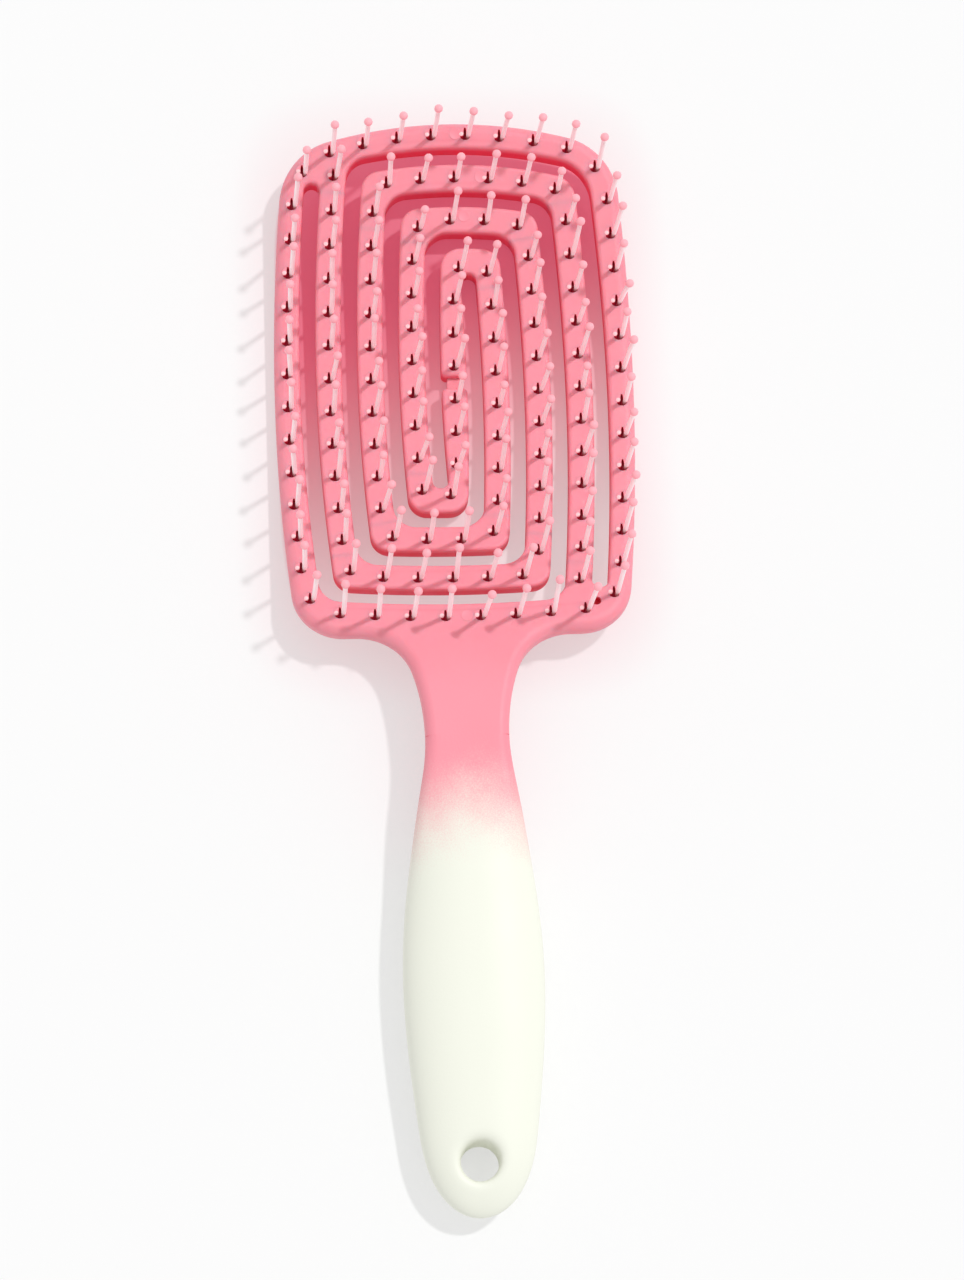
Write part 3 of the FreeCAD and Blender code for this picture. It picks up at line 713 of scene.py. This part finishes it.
def filament_mesh(strip, tufts, dice):
    """Points and quads of all filaments of a strip: at each station a ring of the station's radius, square
    to the straight filament's path. Above its hole each pin's rings are moved aside by its own lean, which
    grows with the height, and its own bow, which grows with the height's square. Also gives what each point
    belongs to."""
    across, height, out_x, out_z, radii, kind = filament_stations(tufts)
    places = tuft_places(strip, tufts)
    count, stations, sides = len(places), len(across), tufts.sides
    usual = (tufts.side_lean, tufts.long_lean)
    lean = np.tan(dice.normal(0.0, usual, (count, 2)))
    bow = BOW_SHARE * dice.normal(0.0, usual, (count, 2))
    lean[:, 0] += math.tan(tufts.side_set)
    lean[:, 1] -= tufts.inward_share * face_slope(places[:, 1])
    rise = np.where(kind >= PIN, np.clip(height + tufts.filament_radius, 0, None), 0.0)
    bend = rise ** 2 / tufts.pin_height
    path = np.zeros((count, stations, 3))
    path[:, :, 0] = across + lean[:, :1] * rise + bow[:, :1] * bend
    path[:, :, 1] = lean[:, 1:] * rise + bow[:, 1:] * bend
    path[:, :, 2] = height
    path += places[:, None, :]
    angle = np.arange(sides) * 2 * math.pi / sides
    ring = np.zeros((stations, sides, 3))
    ring[:, :, 0] = (radii * out_x)[:, None] * np.cos(angle)
    ring[:, :, 1] = radii[:, None] * np.sin(angle)
    ring[:, :, 2] = (radii * out_z)[:, None] * np.cos(angle)
    points = (path[:, :, None, :] + ring[None]).reshape(-1, 3)
    faces = repeated_faces(grid_faces(stations, sides, False, True), stations * sides, count)
    return points, faces, np.tile(np.repeat(kind, sides), count)


# Facets round a hole's collar, its outer edge as a share of the hole's radius, the most that its slit and
# its lip may take of that edge, and the lip as a share of the slit
COLLAR_SIDES = 24
COLLAR_EDGE_SHARE = 0.99
SLIT_LIMIT_SHARE = 0.97
LIP_LIMIT_SHARE = 0.98
LIP_SHARE = 1.15
# Where the opening below the filaments starts and how soon it is full, in sines of the turn round the hole
FOOT_START = 0.15
FOOT_RUN = 0.35
# How far below the face the rings of a collar lie, in metres, and which of them are down in the hole and so
# take the holes' painted shade
COLLAR_DEPTHS = (0.00002, 0.00003, 0.00016, 0.0009, 0.0009)
COLLAR_DOWN = (0, 0, 1, 1, 1)


def collar_mesh(strip, tufts):
    """Points and quads of the plastic that closes up round the filaments of a strip's holes, flush with
    the face. Each is a closed ring: its outer edge is the hole's circle, and its inner edge runs straight
    along both sides of the slit that the anchor leaves and opens out to the circle below the filaments.
    Also gives which points are down in the hole."""
    places = tuft_places(strip, tufts)
    turn = (np.arange(COLLAR_SIDES) + 0.5) * 2 * math.pi / COLLAR_SIDES
    edge = tufts.hole_radius * COLLAR_EDGE_SHARE
    slit = np.minimum(tufts.slit_width / 2 / np.abs(np.cos(turn)), edge * SLIT_LIMIT_SHARE)
    below = np.clip((-np.sin(turn) - FOOT_START) / FOOT_RUN, 0, 1)
    slit += (edge * SLIT_LIMIT_SHARE - slit) * below
    lip = np.minimum(slit * LIP_SHARE, edge * LIP_LIMIT_SHARE)
    radius = np.stack([np.broadcast_to(r, turn.shape) for r in (edge, lip, slit, slit, edge)])
    level = np.broadcast_to(-np.array(COLLAR_DEPTHS)[:, None], radius.shape)
    shape = np.stack([radius * np.cos(turn), radius * np.sin(turn), level], axis=-1)
    points = places[:, None, None, :] + shape[None]
    points[..., 2] += face_slope(places[:, 1])[:, None, None] * shape[None, :, :, 1]
    points = points.reshape(-1, 3)
    one = grid_faces(len(COLLAR_DEPTHS), COLLAR_SIDES, True, True)
    faces = repeated_faces(one, radius.size, len(places))
    down = np.tile(np.repeat(COLLAR_DOWN, COLLAR_SIDES), len(places))
    return points, facing_out(points, faces), down


# Round witness marks of the mould on the face: the strip, and the place from the head's middle, in metres
MARKS = (
    ("head_frame", 0.0016, 0.0563), ("top_outer_bar", 0.0071, 0.0467), ("top_inner_bar", 0.0032, 0.0380),
    ("head_frame", 0.0008, -0.0563),
)
# Facets round a mark, and its section from the middle out and down: shares of its radius and of its height
MARK_SIDES = 40
MARK_RADIUS_SHARES = (0.0, 0.78, 0.86, 0.95, 1.0, 1.0, 0.0)
MARK_HEIGHT_SHARES = (0.35, 0.35, 0.9, 1.0, 0.5, -2.0, -2.0)


def mark_mesh(across, along, radius, height):
    """Points and quads of one round witness mark: the section of a low disc with a raised rim, turned
    round its middle, its foot sunk into the face."""
    turn = np.arange(MARK_SIDES) * 2 * math.pi / MARK_SIDES
    reach = np.array(MARK_RADIUS_SHARES)[:, None] * radius
    lift = np.array(MARK_HEIGHT_SHARES)[:, None] * height
    x, y = across + reach * np.cos(turn), HEAD_MIDDLE + along + reach * np.sin(turn)
    points = np.stack([x, y, face_height(y) + lift], axis=-1).reshape(-1, 3)
    return points, facing_out(points, grid_faces(len(reach), MARK_SIDES, False, True))


# Stations along an anchor, as shares of its width, and there how full its section is and how far its top
# is pressed down, as shares of its height. Points round the section, and the powers that box its circle
ANCHOR_SHARES = (-0.5, -0.5, -0.46, -0.3, 0.0, 0.3, 0.46, 0.5, 0.5)
ANCHOR_SWELL_SHARES = (0.0, 0.7, 0.95, 1.0, 1.0, 1.0, 0.95, 0.7, 0.0)
ANCHOR_PRESS_SHARES = (0.0, 0.0, 0.0, 0.05, 0.14, 0.05, 0.0, 0.0, 0.0)
ANCHOR_CORNERS = 8
ANCHOR_POWERS = (0.5, 0.3)


def boxed(values, power):
    """Sines or cosines raised to a power with their signs kept, which makes a circle a rounded box."""
    return np.sign(values) * np.abs(values) ** power


def anchor_mesh(strip, tufts):
    """Points and quads of the anchors of a strip: a flat strip of wire across each hole, its section a
    rounded box, drawn in at both ends and pressed down in the middle where it holds the fold."""
    places = tuft_places(strip, tufts)
    along = np.array(ANCHOR_SHARES)
    swell = np.array(ANCHOR_SWELL_SHARES)[:, None]
    press = np.array(ANCHOR_PRESS_SHARES)[:, None]
    corner = np.linspace(0, 2 * math.pi, ANCHOR_CORNERS, endpoint=False) + math.pi / ANCHOR_CORNERS
    box_x, box_z = boxed(np.cos(corner), ANCHOR_POWERS[0]), boxed(np.sin(corner), ANCHOR_POWERS[1])
    shape = np.zeros((along.size, corner.size, 3))
    shape[:, :, 0] = swell * box_x * tufts.anchor_thickness / 2
    shape[:, :, 1] = (along * tufts.anchor_width)[:, None]
    shape[:, :, 2] = (swell * box_z - 1) * tufts.anchor_height / 2
    shape[:, :, 2] -= np.where(box_z > 0, press * tufts.anchor_height, 0)
    heads = places - np.array([0, 0, tufts.anchor_drop])
    points = (heads[:, None, None, :] + shape[None]).reshape(-1, 3)
    one = grid_faces(along.size, corner.size, False, True)
    return points, facing_out(points, repeated_faces(one, along.size * corner.size, len(places)))


def clamped_curve(at, stations, values, start_slope, end_slope):
    """Cubic spline through values at stations, with both end slopes given, worked out at many places."""
    x, y = np.array(stations), np.array(values)
    step, rise = np.diff(x), np.diff(y) / np.diff(x)
    count = len(x)
    matrix, pull = np.zeros((count, count)), np.zeros(count)
    inner = np.arange(1, count - 1)
    matrix[inner, inner - 1], matrix[inner, inner + 1] = step[:-1], step[1:]
    matrix[inner, inner] = 2 * (step[:-1] + step[1:])
    pull[inner] = 6 * np.diff(rise)
    matrix[0, :2] = 2 * step[0], step[0]
    matrix[-1, -2:] = step[-1], 2 * step[-1]
    pull[0], pull[-1] = 6 * (rise[0] - start_slope), 6 * (end_slope - rise[-1])
    bend = np.linalg.solve(matrix, pull)
    i = np.clip(np.searchsorted(x, at) - 1, 0, count - 2)
    left, right = at - x[i], x[i + 1] - at
    cubic = (bend[i] * right ** 3 + bend[i + 1] * left ** 3) / (6 * step[i])
    return cubic + (y[i] / step[i] - bend[i] * step[i] / 6) * right + (
        y[i + 1] / step[i] - bend[i + 1] * step[i] / 6) * left


# Stations along the grip from the neck's seam to the tail, as shares of its length, and there the width as
# a share of the widest, and the face's and back's heights as shares of those at the seam
GRIP_SHARES = (0.0, 0.12, 0.23, 0.345, 0.49, 0.63, 0.76, 0.84, 1.0)
GRIP_WIDTH_SHARES = (0.594, 0.70, 0.828, 0.938, 1.0, 0.968, 0.883, 0.82, 0.72)
GRIP_FACE_SHARES = (1.0, 1.003, 0.997, 0.986, 0.964, 0.926, 0.87, 0.832, 0.78)
GRIP_BACK_SHARES = (1.0, 0.59, 0.31, 0.11, 0.003, 0.03, 0.12, 0.19, 0.33)
# Slopes of width, face and back at the tail, per length of the grip. The width's is a share of the widest
TAIL_WIDTH_SLOPE_SHARE = -0.3
TAIL_FACE_SLOPE = -0.006
TAIL_BACK_SLOPE = 0.008
# Share of the length over which the neck's boxed section softens into the oval
SOFTENING_SHARE = 0.34
# Points this near to the seam lie on it, and the rim's slope is measured over this step, in metres
SEAM_MARGIN = WELD_SIZE * 10
SLOPE_STEP = WELD_SIZE * 100


class GripForm:
    """The grip's surface: at each place along it the section is a rounded box at the neck that softens
    into an oval, and towards the tail width and thickness close together like an ellipse."""

    def __init__(self, grip):
        places = mesh_arrays(frame["nodes"]["head_frame"].data)[0]
        low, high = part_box("handle")
        self.grip = grip
        self.seam, self.length = high.y, high.y - low.y
        rim = places[np.abs(places[:, 1] - self.seam) < SEAM_MARGIN]
        self.neck_half = float(np.abs(rim[:, 0]).max())
        self.neck_face, self.neck_back = float(rim[:, 2].max()), float(rim[:, 2].min())

    def half_width(self, share):
        """Half the width at shares of the length: a spline through the stations, closed at the tail."""
        halves = np.array(GRIP_WIDTH_SHARES) * self.grip.width / 2
        halves[0] = self.neck_half
        end = self.grip.width * TAIL_WIDTH_SLOPE_SHARE
        return clamped_curve(share, GRIP_SHARES, halves, 0.0, end) * self.closing(share)

    def closing(self, share):
        """What the tail leaves of width and thickness: 1 up to its start, then it closes like an ellipse."""
        start = self.grip.tail_start
        turn = np.clip((share - start) / (1 - start), 0, 1)
        return np.sqrt(np.clip(1 - turn ** self.grip.tail_power, 0, 1))

    def heights(self, x, y):
        """Heights of the face and the back over a place: their middle line, plus and less a swell that eases
        from a box with rounded corners at the neck to an oval of the section's power."""
        share = np.clip((self.seam - y) / self.length, 0, 1)
        faces = np.array(GRIP_FACE_SHARES) * self.neck_face
        backs = np.array(GRIP_BACK_SHARES) * self.neck_back
        fall = -self.grip.neck_back_slope * self.length
        face = clamped_curve(share, GRIP_SHARES, faces, 0.0, TAIL_FACE_SLOPE)
        back = clamped_curve(share, GRIP_SHARES, backs, fall, TAIL_BACK_SLOPE)
        closing = self.closing(share)
        middle, half = (face + back) / 2, (face - back) / 2 * closing
        width = np.maximum(self.half_width(share), WELD_SIZE)
        across = np.clip(np.abs(x) / width, 0, 1)
        corner = np.minimum(self.grip.neck_corner, half)
        over = np.clip(np.abs(x) - (width - corner), 0, corner)
        squared = half - corner + np.sqrt(np.clip(corner ** 2 - over ** 2, 0, None))
        oval = half * (1 - across ** self.grip.power) ** (1 / self.grip.power)
        ease = np.clip(share / SOFTENING_SHARE, 0, 1)
        ease = ease * ease * (3 - 2 * ease)
        swell = squared + (oval - squared) * ease
        return middle + swell, middle - swell

    def outline(self):
        """The grip seen from above: down the right side, round the tail, up the left side and along the
        seam. Stations crowd towards the tail, where the outline turns fastest."""
        share = np.sin(np.linspace(0, 1, self.grip.side_steps) * math.pi / 2)
        half = self.half_width(share)
        half[-1] = 0.0
        seam = np.linspace(-self.neck_half, self.neck_half, self.grip.seam_steps)[1:-1]
        x = np.concatenate([half, -half[-2::-1], seam])
        y = self.seam - self.length * np.concatenate([share, share[-2::-1], np.zeros(seam.size)])
        return x, y

    def mesh(self, hole_y, hole_radius):
        """Points and quads of the grip as one closed ring round its hang hole. Every ray from the hole's
        middle to the outline carries one closed section: up the bore, over the rim, along the face to the
        edge, and back along the back. A rim is a Bezier arc, tangent to the surface and to the bore."""
        x, y = self.outline()
        away = np.hypot(x, y - hole_y)
        ray_x, ray_y = x / away, (y - hole_y) / away
        outer = hole_radius + self.grip.hole_rim
        ease = np.sin(np.linspace(0, 1, self.grip.face_steps) * math.pi / 2)[:, None]
        reach = outer + (away - outer) * ease
        face, back = self.heights(ray_x * reach, hole_y + ray_y * reach)
        beside = outer + SLOPE_STEP
        near_face, near_back = self.heights(ray_x * beside, hole_y + ray_y * beside)
        rims = []
        for edge, near, sign in ((face[0], near_face, -1), (back[0], near_back, 1)):
            knee = edge - (near - edge) / SLOPE_STEP * self.grip.hole_rim
            foot = knee + sign * self.grip.hole_rim
            step = np.linspace(0, 1, self.grip.rim_steps)[1:, None]
            radius = (1 - step) ** 2 * outer + (1 - (1 - step) ** 2) * hole_radius
            height = (1 - step) ** 2 * edge + 2 * step * (1 - step) * knee + step ** 2 * foot
            rims.append((np.broadcast_to(radius, height.shape), height))
        rows_r = [rims[0][0][::-1], reach, reach[::-1], rims[1][0]]
        rows_z = [rims[0][1][::-1], face, back[::-1], rims[1][1]]
        radius, height = np.concatenate(rows_r), np.concatenate(rows_z)
        points = np.stack([ray_x * radius, hole_y + ray_y * radius, height], axis=-1)
        faces = grid_faces(len(radius), x.size, True, True)
        points = points.reshape(-1, 3)
        return points, facing_out(points, faces)


class BRUSH_OT_grip(bpy.types.Operator):
    """Makes the grip with its hang hole"""

    bl_idname = "brush.grip"
    bl_label = "Grip"

    def execute(self, context):
        hole = next(m for m in frame["record"]["mounts"] if m["name"] == "hang_hole")
        form = GripForm(context.scene.brush_grip)
        points, faces = form.mesh(hole["pos_m"][1], hole["dims"]["r_mm"] / 1000)
        piece = new_piece("grip", points, faces, sprayed_plastic())
        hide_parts("handle")
        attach(piece, BODY_OF["handle"])
        return {"FINISHED"}


class BRUSH_OT_head(bpy.types.Operator):
    """Makes the head's frame, its bars and cores and the bridge"""

    bl_idname = "brush.head"
    bl_label = "Frame and bars"

    def execute(self, context):
        for node in ("head_frame", "core_bridge") + RIGID_STRIPS:
            settle(moulded_copy(node, sprayed_plastic(), context.scene.brush_tufts), node)
        return {"FINISHED"}


class BRUSH_OT_legs(bpy.types.Operator):
    """Makes the six long legs, which bend as the coil gives"""

    bl_idname = "brush.legs"
    bl_label = "Bending legs"

    def execute(self, context):
        for leg in BENDING_LEGS:
            settle(moulded_copy(leg, sprayed_plastic(), context.scene.brush_tufts), leg)
        return {"FINISHED"}


class BRUSH_OT_pins(bpy.types.Operator):
    """Makes the ball-tipped pins and stubs of every strip"""

    bl_idname = "brush.pins"
    bl_label = "Pins"

    def execute(self, context):
        tufts = context.scene.brush_tufts
        dice = np.random.default_rng(tufts.seed)
        nylon = pin_nylon()
        for strip in TUFTED:
            points, faces, kind = filament_mesh(strip, tufts, dice)
            piece = new_piece(strip + "_filaments", points, faces, nylon, weld=False)
            point_values(piece, "ball", kind == BALL)
            point_values(piece, "cut_end", kind == CUT_END)
            point_values(piece, "buried", kind == BURIED)
            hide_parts(strip + "_pins")
            settle(piece, strip)
        return {"FINISHED"}


class BRUSH_OT_collars(bpy.types.Operator):
    """Makes the plastic that closes up round the filaments, and the mould's witness marks"""

    bl_idname = "brush.collars"
    bl_label = "Collars and marks"

    def execute(self, context):
        tufts = context.scene.brush_tufts
        for strip in TUFTED:
            points, faces, down = collar_mesh(strip, tufts)
            piece = new_piece(strip + "_collars", points, faces, sprayed_plastic(), weld=False)
            # The rings down in the hole take the holes' painted shade
            point_values(piece, "hole_depth", down)
            self.fit(piece, strip)
        for number, (strip, across, along) in enumerate(MARKS, 1):
            points, faces = mark_mesh(across, along, tufts.mark_radius, tufts.mark_height)
            piece = new_piece("witness_mark_%d" % number, points, faces, sprayed_plastic())
            self.fit(piece, strip)
        return {"FINISHED"}

    def fit(self, piece, strip):
        """Marks a piece as too thin for scattered light, and settles it on its strip."""
        point_values(piece, "thin", np.ones(len(piece.data.vertices)))
        settle(piece, strip)


class BRUSH_OT_anchors(bpy.types.Operator):
    """Makes the flat wire anchors that hold the filaments"""

    bl_idname = "brush.anchors"
    bl_label = "Anchors"

    def execute(self, context):
        wire = anchor_wire()
        for strip in TUFTED:
            points, faces = anchor_mesh(strip, context.scene.brush_tufts)
            piece = new_piece(strip + "_wires", points, faces, wire)
            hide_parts(strip + "_anchors")
            settle(piece, strip)
        return {"FINISHED"}


# Painted pink light and shade on the floor under the head. It goes as the view turns away from straight
# down. It fills an outline of this power, fades at its edge, leaves a faint painted halo round it, and falls
# off on a slant towards the handle.
# Ranges are in the view's turn, in the outline's own measure, and in shares of half the head's length
VIEW_RANGE = (0.45, 0.15)
OUTLINE_POWER = 6.0
EDGE_RANGE = (1.0, 0.75)
HALO_RANGE = (4.0, 0.8)
HALO_SHARE = 0.09
FALL_SLANT = -0.4
FALL_RANGE_SHARES = (-1.1, 0.5)
# The floor's roughness and its corners, in halves of its size, and the camera's range of sight, in metres
FLOOR_ROUGHNESS = 0.9
FLOOR_CORNERS = ((-1, -1), (1, -1), (1, 1), (-1, 1))
CAMERA_CLIP = (0.01, 20.0)


class BRUSH_OT_stage(bpy.types.Operator):
    """Makes the pale floor, the lamps and the camera"""

    bl_idname = "brush.stage"
    bl_label = "Stage"

    def execute(self, context):
        setup, scene = context.scene.brush_stage, context.scene
        self.make_floor(setup)
        self.make_light(scene, setup)
        self.make_camera(scene, setup)
        scene.view_settings.view_transform = "Standard"
        return {"FINISHED"}

    def make_floor(self, setup):
        """A wide flat sheet under the brush, partly plain white to the camera. From above, where it is seen
        through the head's slots, it is painted with the head's pink light and shade, partly as a glow."""
        half, height = setup.floor_size / 2, CAD_BOX[0].z - setup.floor_gap
        points = np.array([(x * half, y * half, height) for x, y in FLOOR_CORNERS])
        material, tree, shader, place = new_material("pale_floor")
        shader.inputs["Roughness"].default_value = FLOOR_ROUGHNESS
        path = add(tree, "LightPath").outputs
        seen = math_node(tree, "ADD", path["Is Camera Ray"], path["Is Glossy Ray"])
        seen = math_node(tree, "ADD", seen, path["Is Transmission Ray"], clamp=True)
        share = math_node(tree, "MULTIPLY", seen, setup.floor_glow)
        facing = add(tree, "LayerWeight", {"Blend": 0.5}).outputs["Facing"]
        above = smooth_range(tree, facing, *VIEW_RANGE)
        # Painted pink light and shade on the floor under the head: a pink base colour and a pink glow
        painted_pink_share = math_node(tree, "MULTIPLY", self.painted_pink_mask(tree, place), above)
        tint = colour_mix(tree, painted_pink_share, rgba(setup.floor_colour), rgba(setup.floor_painted_pink))
        tree.links.new(tint, shader.inputs["Base Color"])
        shine = colour_mix(tree, painted_pink_share, WHITE, rgba(setup.floor_painted_glow))
        glow = add(tree, "Emission", {"Color": shine, "Strength": 1.0})
        mixed = add(tree, "MixShader", {0: share, 1: shader.outputs[0], 2: glow.outputs[0]})
        output = next(n for n in tree.nodes if n.type == "OUTPUT_MATERIAL")
        tree.links.new(mixed.outputs[0], output.inputs["Surface"])
        floor = new_piece("floor", points, np.array([[0, 1, 2, 3]]), material, weld=False)

    def painted_pink_mask(self, tree, place):
        """How much painted pink light and shade a place of the floor gets: all of it at the head's far end,
        less towards the handle, and a faint halo outside a rounded outline."""
        half_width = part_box("head_frame")[1].x
        half_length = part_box("head_frame")[1].y - HEAD_MIDDLE
        axes = add(tree, "SeparateXYZ", {0: place}).outputs
        along = math_node(tree, "SUBTRACT", axes["Y"], HEAD_MIDDLE)
        reach_x = math_node(tree, "POWER", math_node(tree, "DIVIDE", axes["X"], half_width), OUTLINE_POWER)
        reach_y = math_node(tree, "POWER", math_node(tree, "DIVIDE", along, half_length), OUTLINE_POWER)
        reach = math_node(tree, "ADD", reach_x, reach_y)
        inside = smooth_range(tree, reach, *EDGE_RANGE)
        halo = math_node(tree, "MULTIPLY", smooth_range(tree, reach, *HALO_RANGE), HALO_SHARE)
        slant = math_node(tree, "MULTIPLY_ADD", axes["X"], FALL_SLANT, along)
        fall = smooth_range(tree, slant, *(share * half_length for share in FALL_RANGE_SHARES))
        return math_node(tree, "MAXIMUM", math_node(tree, "MULTIPLY", inside, fall), halo)

    def make_light(self, scene, setup):
        """One soft key lamp and an even white surround."""
        lamp = bpy.data.lights.new("key", "SUN")
        lamp.energy, lamp.angle = setup.key_strength, setup.key_angle
        key = bpy.data.objects.new("key", lamp)
        key.rotation_euler = Vector(setup.key_direction).to_track_quat("Z", "Y").to_euler()
        scene.collection.objects.link(key)
        world = bpy.data.worlds.new("surround")
        world.use_nodes = True
        tree = world.node_tree
        tree.nodes.clear()
        seen = add(tree, "LightPath").outputs["Is Camera Ray"]
        strength = math_node(tree, "MULTIPLY_ADD", seen, 1.0 - setup.fill_strength, setup.fill_strength)
        surround = add(tree, "Background", {"Color": WHITE, "Strength": strength})
        add(tree, "OutputWorld", {"Surface": surround.outputs[0]})
        scene.world = world

    def make_camera(self, scene, setup):
        """The camera where the photograph was taken from, turned by its roll."""
        back = (Vector(setup.camera_place) - Vector(setup.camera_aim)).normalized()
        right = (-back).cross(Vector((0, 1, 0))).normalized()
        up = right.cross(-back)
        c, s = math.cos(setup.camera_roll), math.sin(setup.camera_roll)
        axes = Matrix((right * c + up * s, up * c - right * s, back)).transposed()
        lens = bpy.data.cameras.new("camera")
        lens.lens, (lens.clip_start, lens.clip_end) = setup.lens, CAMERA_CLIP
        camera = bpy.data.objects.new("camera", lens)
        camera.matrix_world = Matrix.Translation(setup.camera_place) @ axes.to_4x4()
        scene.collection.objects.link(camera)
        scene.camera = camera


class BRUSH_PT_panel(bpy.types.Panel):
    """Sizes and colours of the brush, and a button for each group of pieces"""

    bl_idname = "BRUSH_PT_panel"
    bl_label = "Detangling brush"
    bl_space_type = "VIEW_3D"
    bl_region_type = "UI"
    bl_category = "Brush"

    def draw(self, context):
        for step in STEPS:
            self.layout.operator(step.bl_idname)
        for name, group in SETTINGS.items():
            box = self.layout.box()
            box.label(text=group.__name__)
            for label in group.__annotations__:
                box.prop(getattr(context.scene, name), label)


SETTINGS = {
    "brush_tufts": TuftSizes,
    "brush_grip": GripSizes,
    "brush_finishes": Finishes,
    "brush_stage": StageSetup,
}
STEPS = (
    BRUSH_OT_grip, BRUSH_OT_head, BRUSH_OT_legs, BRUSH_OT_pins, BRUSH_OT_collars, BRUSH_OT_anchors,
    BRUSH_OT_stage,
)
CLASSES = (*SETTINGS.values(), *STEPS, BRUSH_PT_panel)


def register():
    for made in CLASSES:
        bpy.utils.register_class(made)
    for name, group in SETTINGS.items():
        setattr(bpy.types.Scene, name, PointerProperty(type=group))


def unregister():
    for name in SETTINGS:
        delattr(bpy.types.Scene, name)
    for made in reversed(CLASSES):
        bpy.utils.unregister_class(made)


def main():
    register()
    bpy.ops.brush.grip()
    bpy.ops.brush.head()
    bpy.ops.brush.legs()
    bpy.ops.brush.pins()
    bpy.ops.brush.collars()
    bpy.ops.brush.anchors()
    bpy.ops.brush.stage()


if __name__ == "__main__":
    main()
